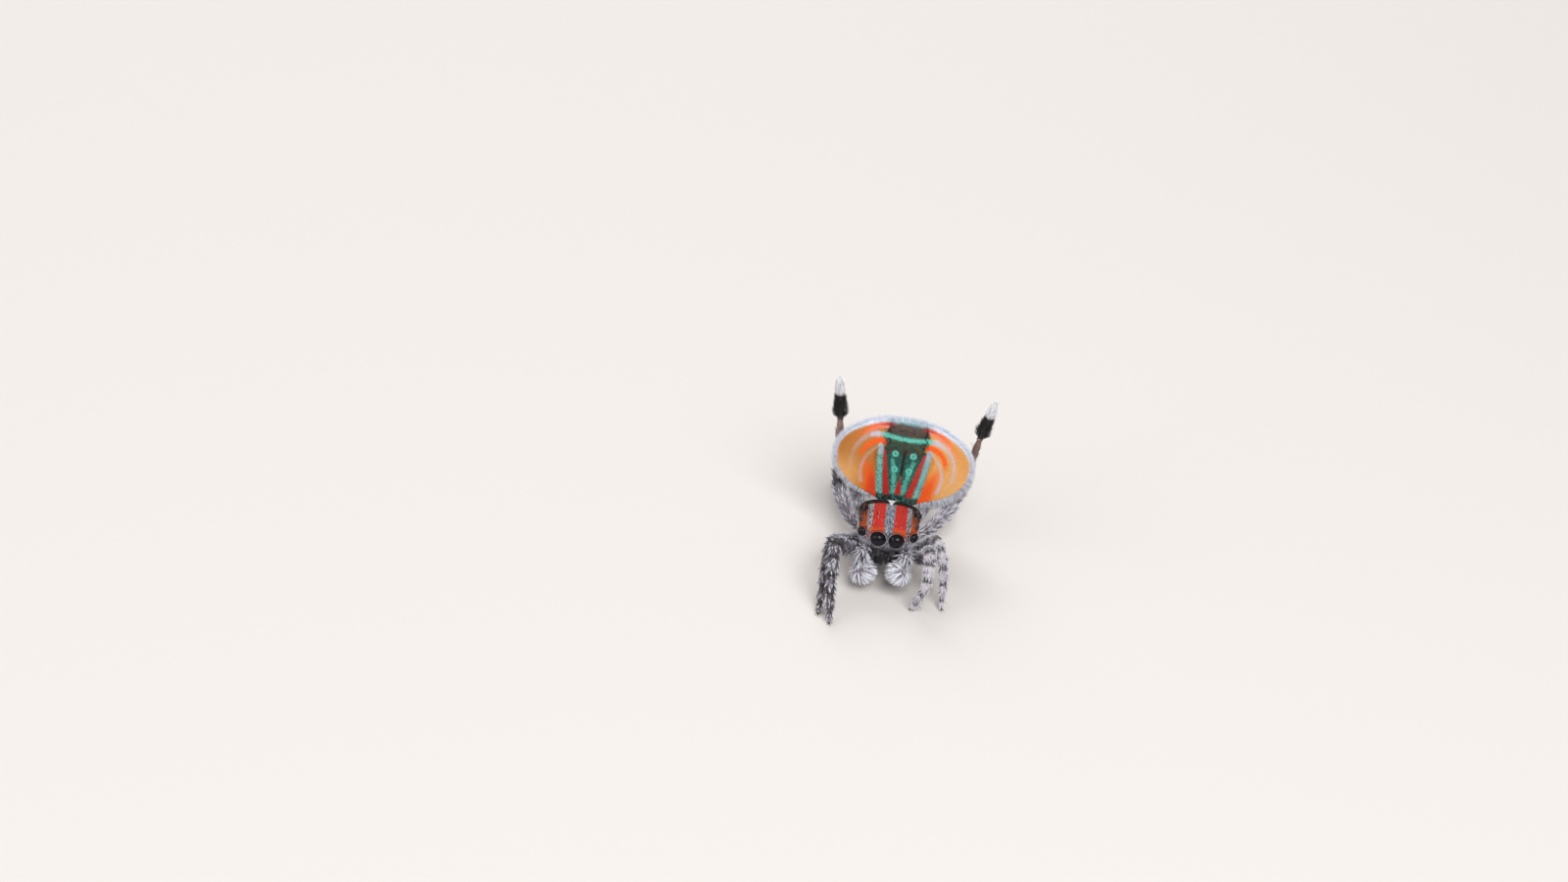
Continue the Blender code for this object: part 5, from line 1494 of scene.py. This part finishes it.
# %% Brushes
BRUSH_START = 0.14
for coat_name, seed, slot, colours in (
    ("black_brushes", 23, "leg_metatarsus", ((BLACK, 0.7), (DARK_BROWN * 0.5, 0.3))),
    ("white_brushes", 24, "leg_tarsus", ((WHITE, 0.8), (RIM_WHITE, 0.2))),
):
    brush = Coat(coat_name, seed)
    for leg_name in ("leg3_right", "leg3_left"):
        leg = legs[leg_name]
        white_tip = coat_name == "white_brushes"
        start, end = (leg.tarsus - 0.02, leg.length) if white_tip else (leg.ankle + BRUSH_START, leg.tarsus - 0.06)
        u, v = rows(leg.surface, brush.chance, 0.022, 0.030, u_span=(start / leg.length, min(end / leg.length, 0.998)))
        share = (u * leg.length - start) / (end - start)
        lean = (24 - 16 * share) if white_tip else (54 - 26 * share)
        length = (0.25 - 0.12 * share) if white_tip else (0.20 - 0.03 * share)
        tints = choose(brush.chance, len(u), *colours)
        brush.clumps(leg.surface, u, v, 3, 0.012, 0.25, lean, length, 0.0050, tints, sway=0.12, bend=-0.20,
                     bulge=0.08, model=LONG_HAIR, root_light=0.9, tip_light=1.1)
        brush.next_tile()
    brush.build(brush_finish, slot)

# %% [markdown]
# ## The palps
# The palps hang in front of the jaws. Each ends in a round white brush. Its long hairs spread from a crown at the
# top of the brush like the ribs of a shell, bulge outwards, and all end on one egg-shaped outline. Their roots
# are painted darker, a painted shade deep in the brush, which deepens the dark gaps between the locks.

# %% Palp hair
LOCK_HAIRS = 12

palp_coat = Coat("palp_hair", 25)
chance = palp_coat.chance
for name, palp in palps.items():
    u, v = rows(palp.surface, chance, 0.042, 0.044, u_span=(0.10, 0.56))
    tints = choose(chance, len(u), (RIM_WHITE, 0.72), (LILAC, 0.13), (HAIR_DARK * 1.5, 0.15))
    palp_coat.clumps(palp.surface, u, v, 6, 0.020, 0.75, 34, 0.24, 0.0046, tints, bend=-0.25, bulge=0.08,
                     model=LONG_HAIR, root_light=0.42, tip_light=1.15)
    palp_coat.next_tile()
    u, v = rows(bulbs[name], chance, 0.062, 0.062, u_span=(0.0, 0.90), jitter=0.25)
    tints = choose(chance, len(u), (RIM_WHITE, 0.80), (HAIR_WHITE, 0.12), (LILAC, 0.08))
    length = 0.25 - 0.06 * smooth_step(0.25, 0.5, u)
    palp_coat.clumps(bulbs[name], u, v, LOCK_HAIRS, 0.030, 0.62, 20, length, 0.0046, tints, bend=-0.42, bulge=0.06,
                     sway=0.05, model=LONG_HAIR, root_light=0.60, tip_light=1.2, vary=0.10, shades=0.18)
    palp_coat.next_tile()
palp_coat.build(hair_finish, "palp_brush")

# %% [markdown]
# ## Underside and jaws
# The breast plate and the jaws are dark and glossy with thin grey hair.

# %% Underside hair
under = Coat("underside_hair", 26)
for surface, spacing, lowest, highest in (
    (breast_plate, 0.055, 0.0, 0.84),
    (jaws["left"], 0.038, 0.54, 2.0),
    (jaws["right"], 0.038, 0.54, 2.0),
):
    u, v = rows(surface, under.chance, spacing, spacing, u_span=(0.05, 0.95))
    height = surface(u, v)[:, 2]
    kept = (height > lowest) & (height < highest)
    u, v = u[kept], v[kept]
    points, along, around, out = surface_frame(surface, u, v)
    tints = choose(under.chance, len(u), (HAIR_GREY * 0.6, 0.25), (HAIR_DARK, 0.75))
    for _ in range(3):
        ways = out * 0.5 + (0, -0.2, -0.9) + under.chance.normal(0, 0.2, points.shape)
        roots = points + under.chance.uniform(-0.02, 0.02, points.shape)
        under.add(HAIR, roots, ways, out, 0.11, 0.0045, 0.004, tints, np.stack([u, v], axis=-1), bend=-0.1)
    under.next_tile()
under.build(hair_finish, "sternum")

# %% [markdown]
# ## Claws
# Each foot ends in two small curved claws. One claw is a cone, cut into rings and bent in edit mode, and each
# foot gets two copies, all joined into one piece.

# %% Claws
CLAW_LENGTH = 0.085
CLAW_RADIUS = 0.014
claws = []
for leg in legs.values():
    end, way, side = leg.line[-1], leg.along[-1], leg.side[-1]
    heading = unit((leg.line[-1] - leg.line[0]) * (1, 1, 0))
    beside = np.array((-heading[1], heading[0], 0.0))
    for turn_side in (-1, 1):
        deselect_all()
        bpy.ops.mesh.primitive_cone_add(vertices=10, radius1=CLAW_RADIUS, radius2=0.001, depth=CLAW_LENGTH)
        claw = bpy.context.object
        bpy.ops.object.mode_set(mode="EDIT")
        for cut in (-0.25, 0.0, 0.25):
            bpy.ops.mesh.select_all(action="SELECT")
            bpy.ops.mesh.bisect(plane_co=(0, 0, cut * CLAW_LENGTH), plane_no=(0, 0, 1))
        bpy.ops.object.mode_set(mode="OBJECT")
        points = read_points(claw)
        reach = points[:, 2] / CLAW_LENGTH + 0.5
        forward = unit(heading + beside * turn_side * 0.5)
        if leg.name.startswith("leg3"):
            forward = unit(way + side * turn_side * 0.4)
            place = end + way * -0.02
            drop = -fan_out
        else:
            place = np.array((end[0], end[1], 0.055)) + forward * 0.02
            drop = np.array((0.0, 0.0, -1.0))
        across_way = np.cross(drop, forward)
        placed = (
            place
            + forward * (reach * CLAW_LENGTH)[:, None]
            + across_way * points[:, :1]
            + drop * (points[:, 1] + reach**2 * CLAW_LENGTH * 0.42)[:, None]
        )
        write_points(claw, placed)
        set_tint(claw.data, plain(DARK_BROWN)(None, placed))
        claws.append(claw)
deselect_all()
for claw in claws:
    claw.select_set(True)
bpy.context.view_layer.objects.active = claws[0]
bpy.ops.object.join()
hand_over(bpy.context.object, "claws", claw_finish, "leg_foot")

# %% [markdown]
# ## Floor and light
# A plain pale floor and soft studio light: a large lamp in front and above, a weaker one on each side, and a
# bright room around. The lamps are only some centimetres away, so their power is a fraction of a watt.

# %% Floor, lamps and room
FLOOR_SIZE = 1.2
deselect_all()
bpy.ops.mesh.primitive_plane_add(size=FLOOR_SIZE)
floor = bpy.context.object
floor.name = "floor"
floor_finish = bpy.data.materials.new("pale_floor")
floor_finish.use_nodes = True
floor_shader = floor_finish.node_tree.nodes["Principled BSDF"]
floor_shader.inputs["Base Color"].default_value = (*screen(212, 207, 203), 1.0)
floor_shader.inputs["Roughness"].default_value = 0.85
floor.data.materials.append(floor_finish)

LAMPS = (
    ("key", (0.045, -0.085, 0.13), 0.14, 0.27),
    ("fill", (-0.12, -0.05, 0.07), 0.14, 0.08),
    ("rear", (-0.03, 0.12, 0.10), 0.10, 0.12),
)
subject = Vector((0.0, 0.0, 0.0018))
for lamp_name, place, size, power in LAMPS:
    aim_way = (subject - Vector(place)).to_track_quat("-Z", "Y").to_euler()
    bpy.ops.object.light_add(type="AREA", location=place, rotation=aim_way)
    lamp = bpy.context.object
    lamp.name = lamp_name
    lamp.data.shape = "DISK"
    lamp.data.size = size
    lamp.data.energy = power

room = bpy.data.worlds.new("room")
room.use_nodes = True
room.node_tree.nodes["Background"].inputs["Color"].default_value = (*screen(214, 212, 214), 1.0)
room.node_tree.nodes["Background"].inputs["Strength"].default_value = 0.40
bpy.context.scene.world = room
bpy.context.scene.view_settings.view_transform = "Standard"
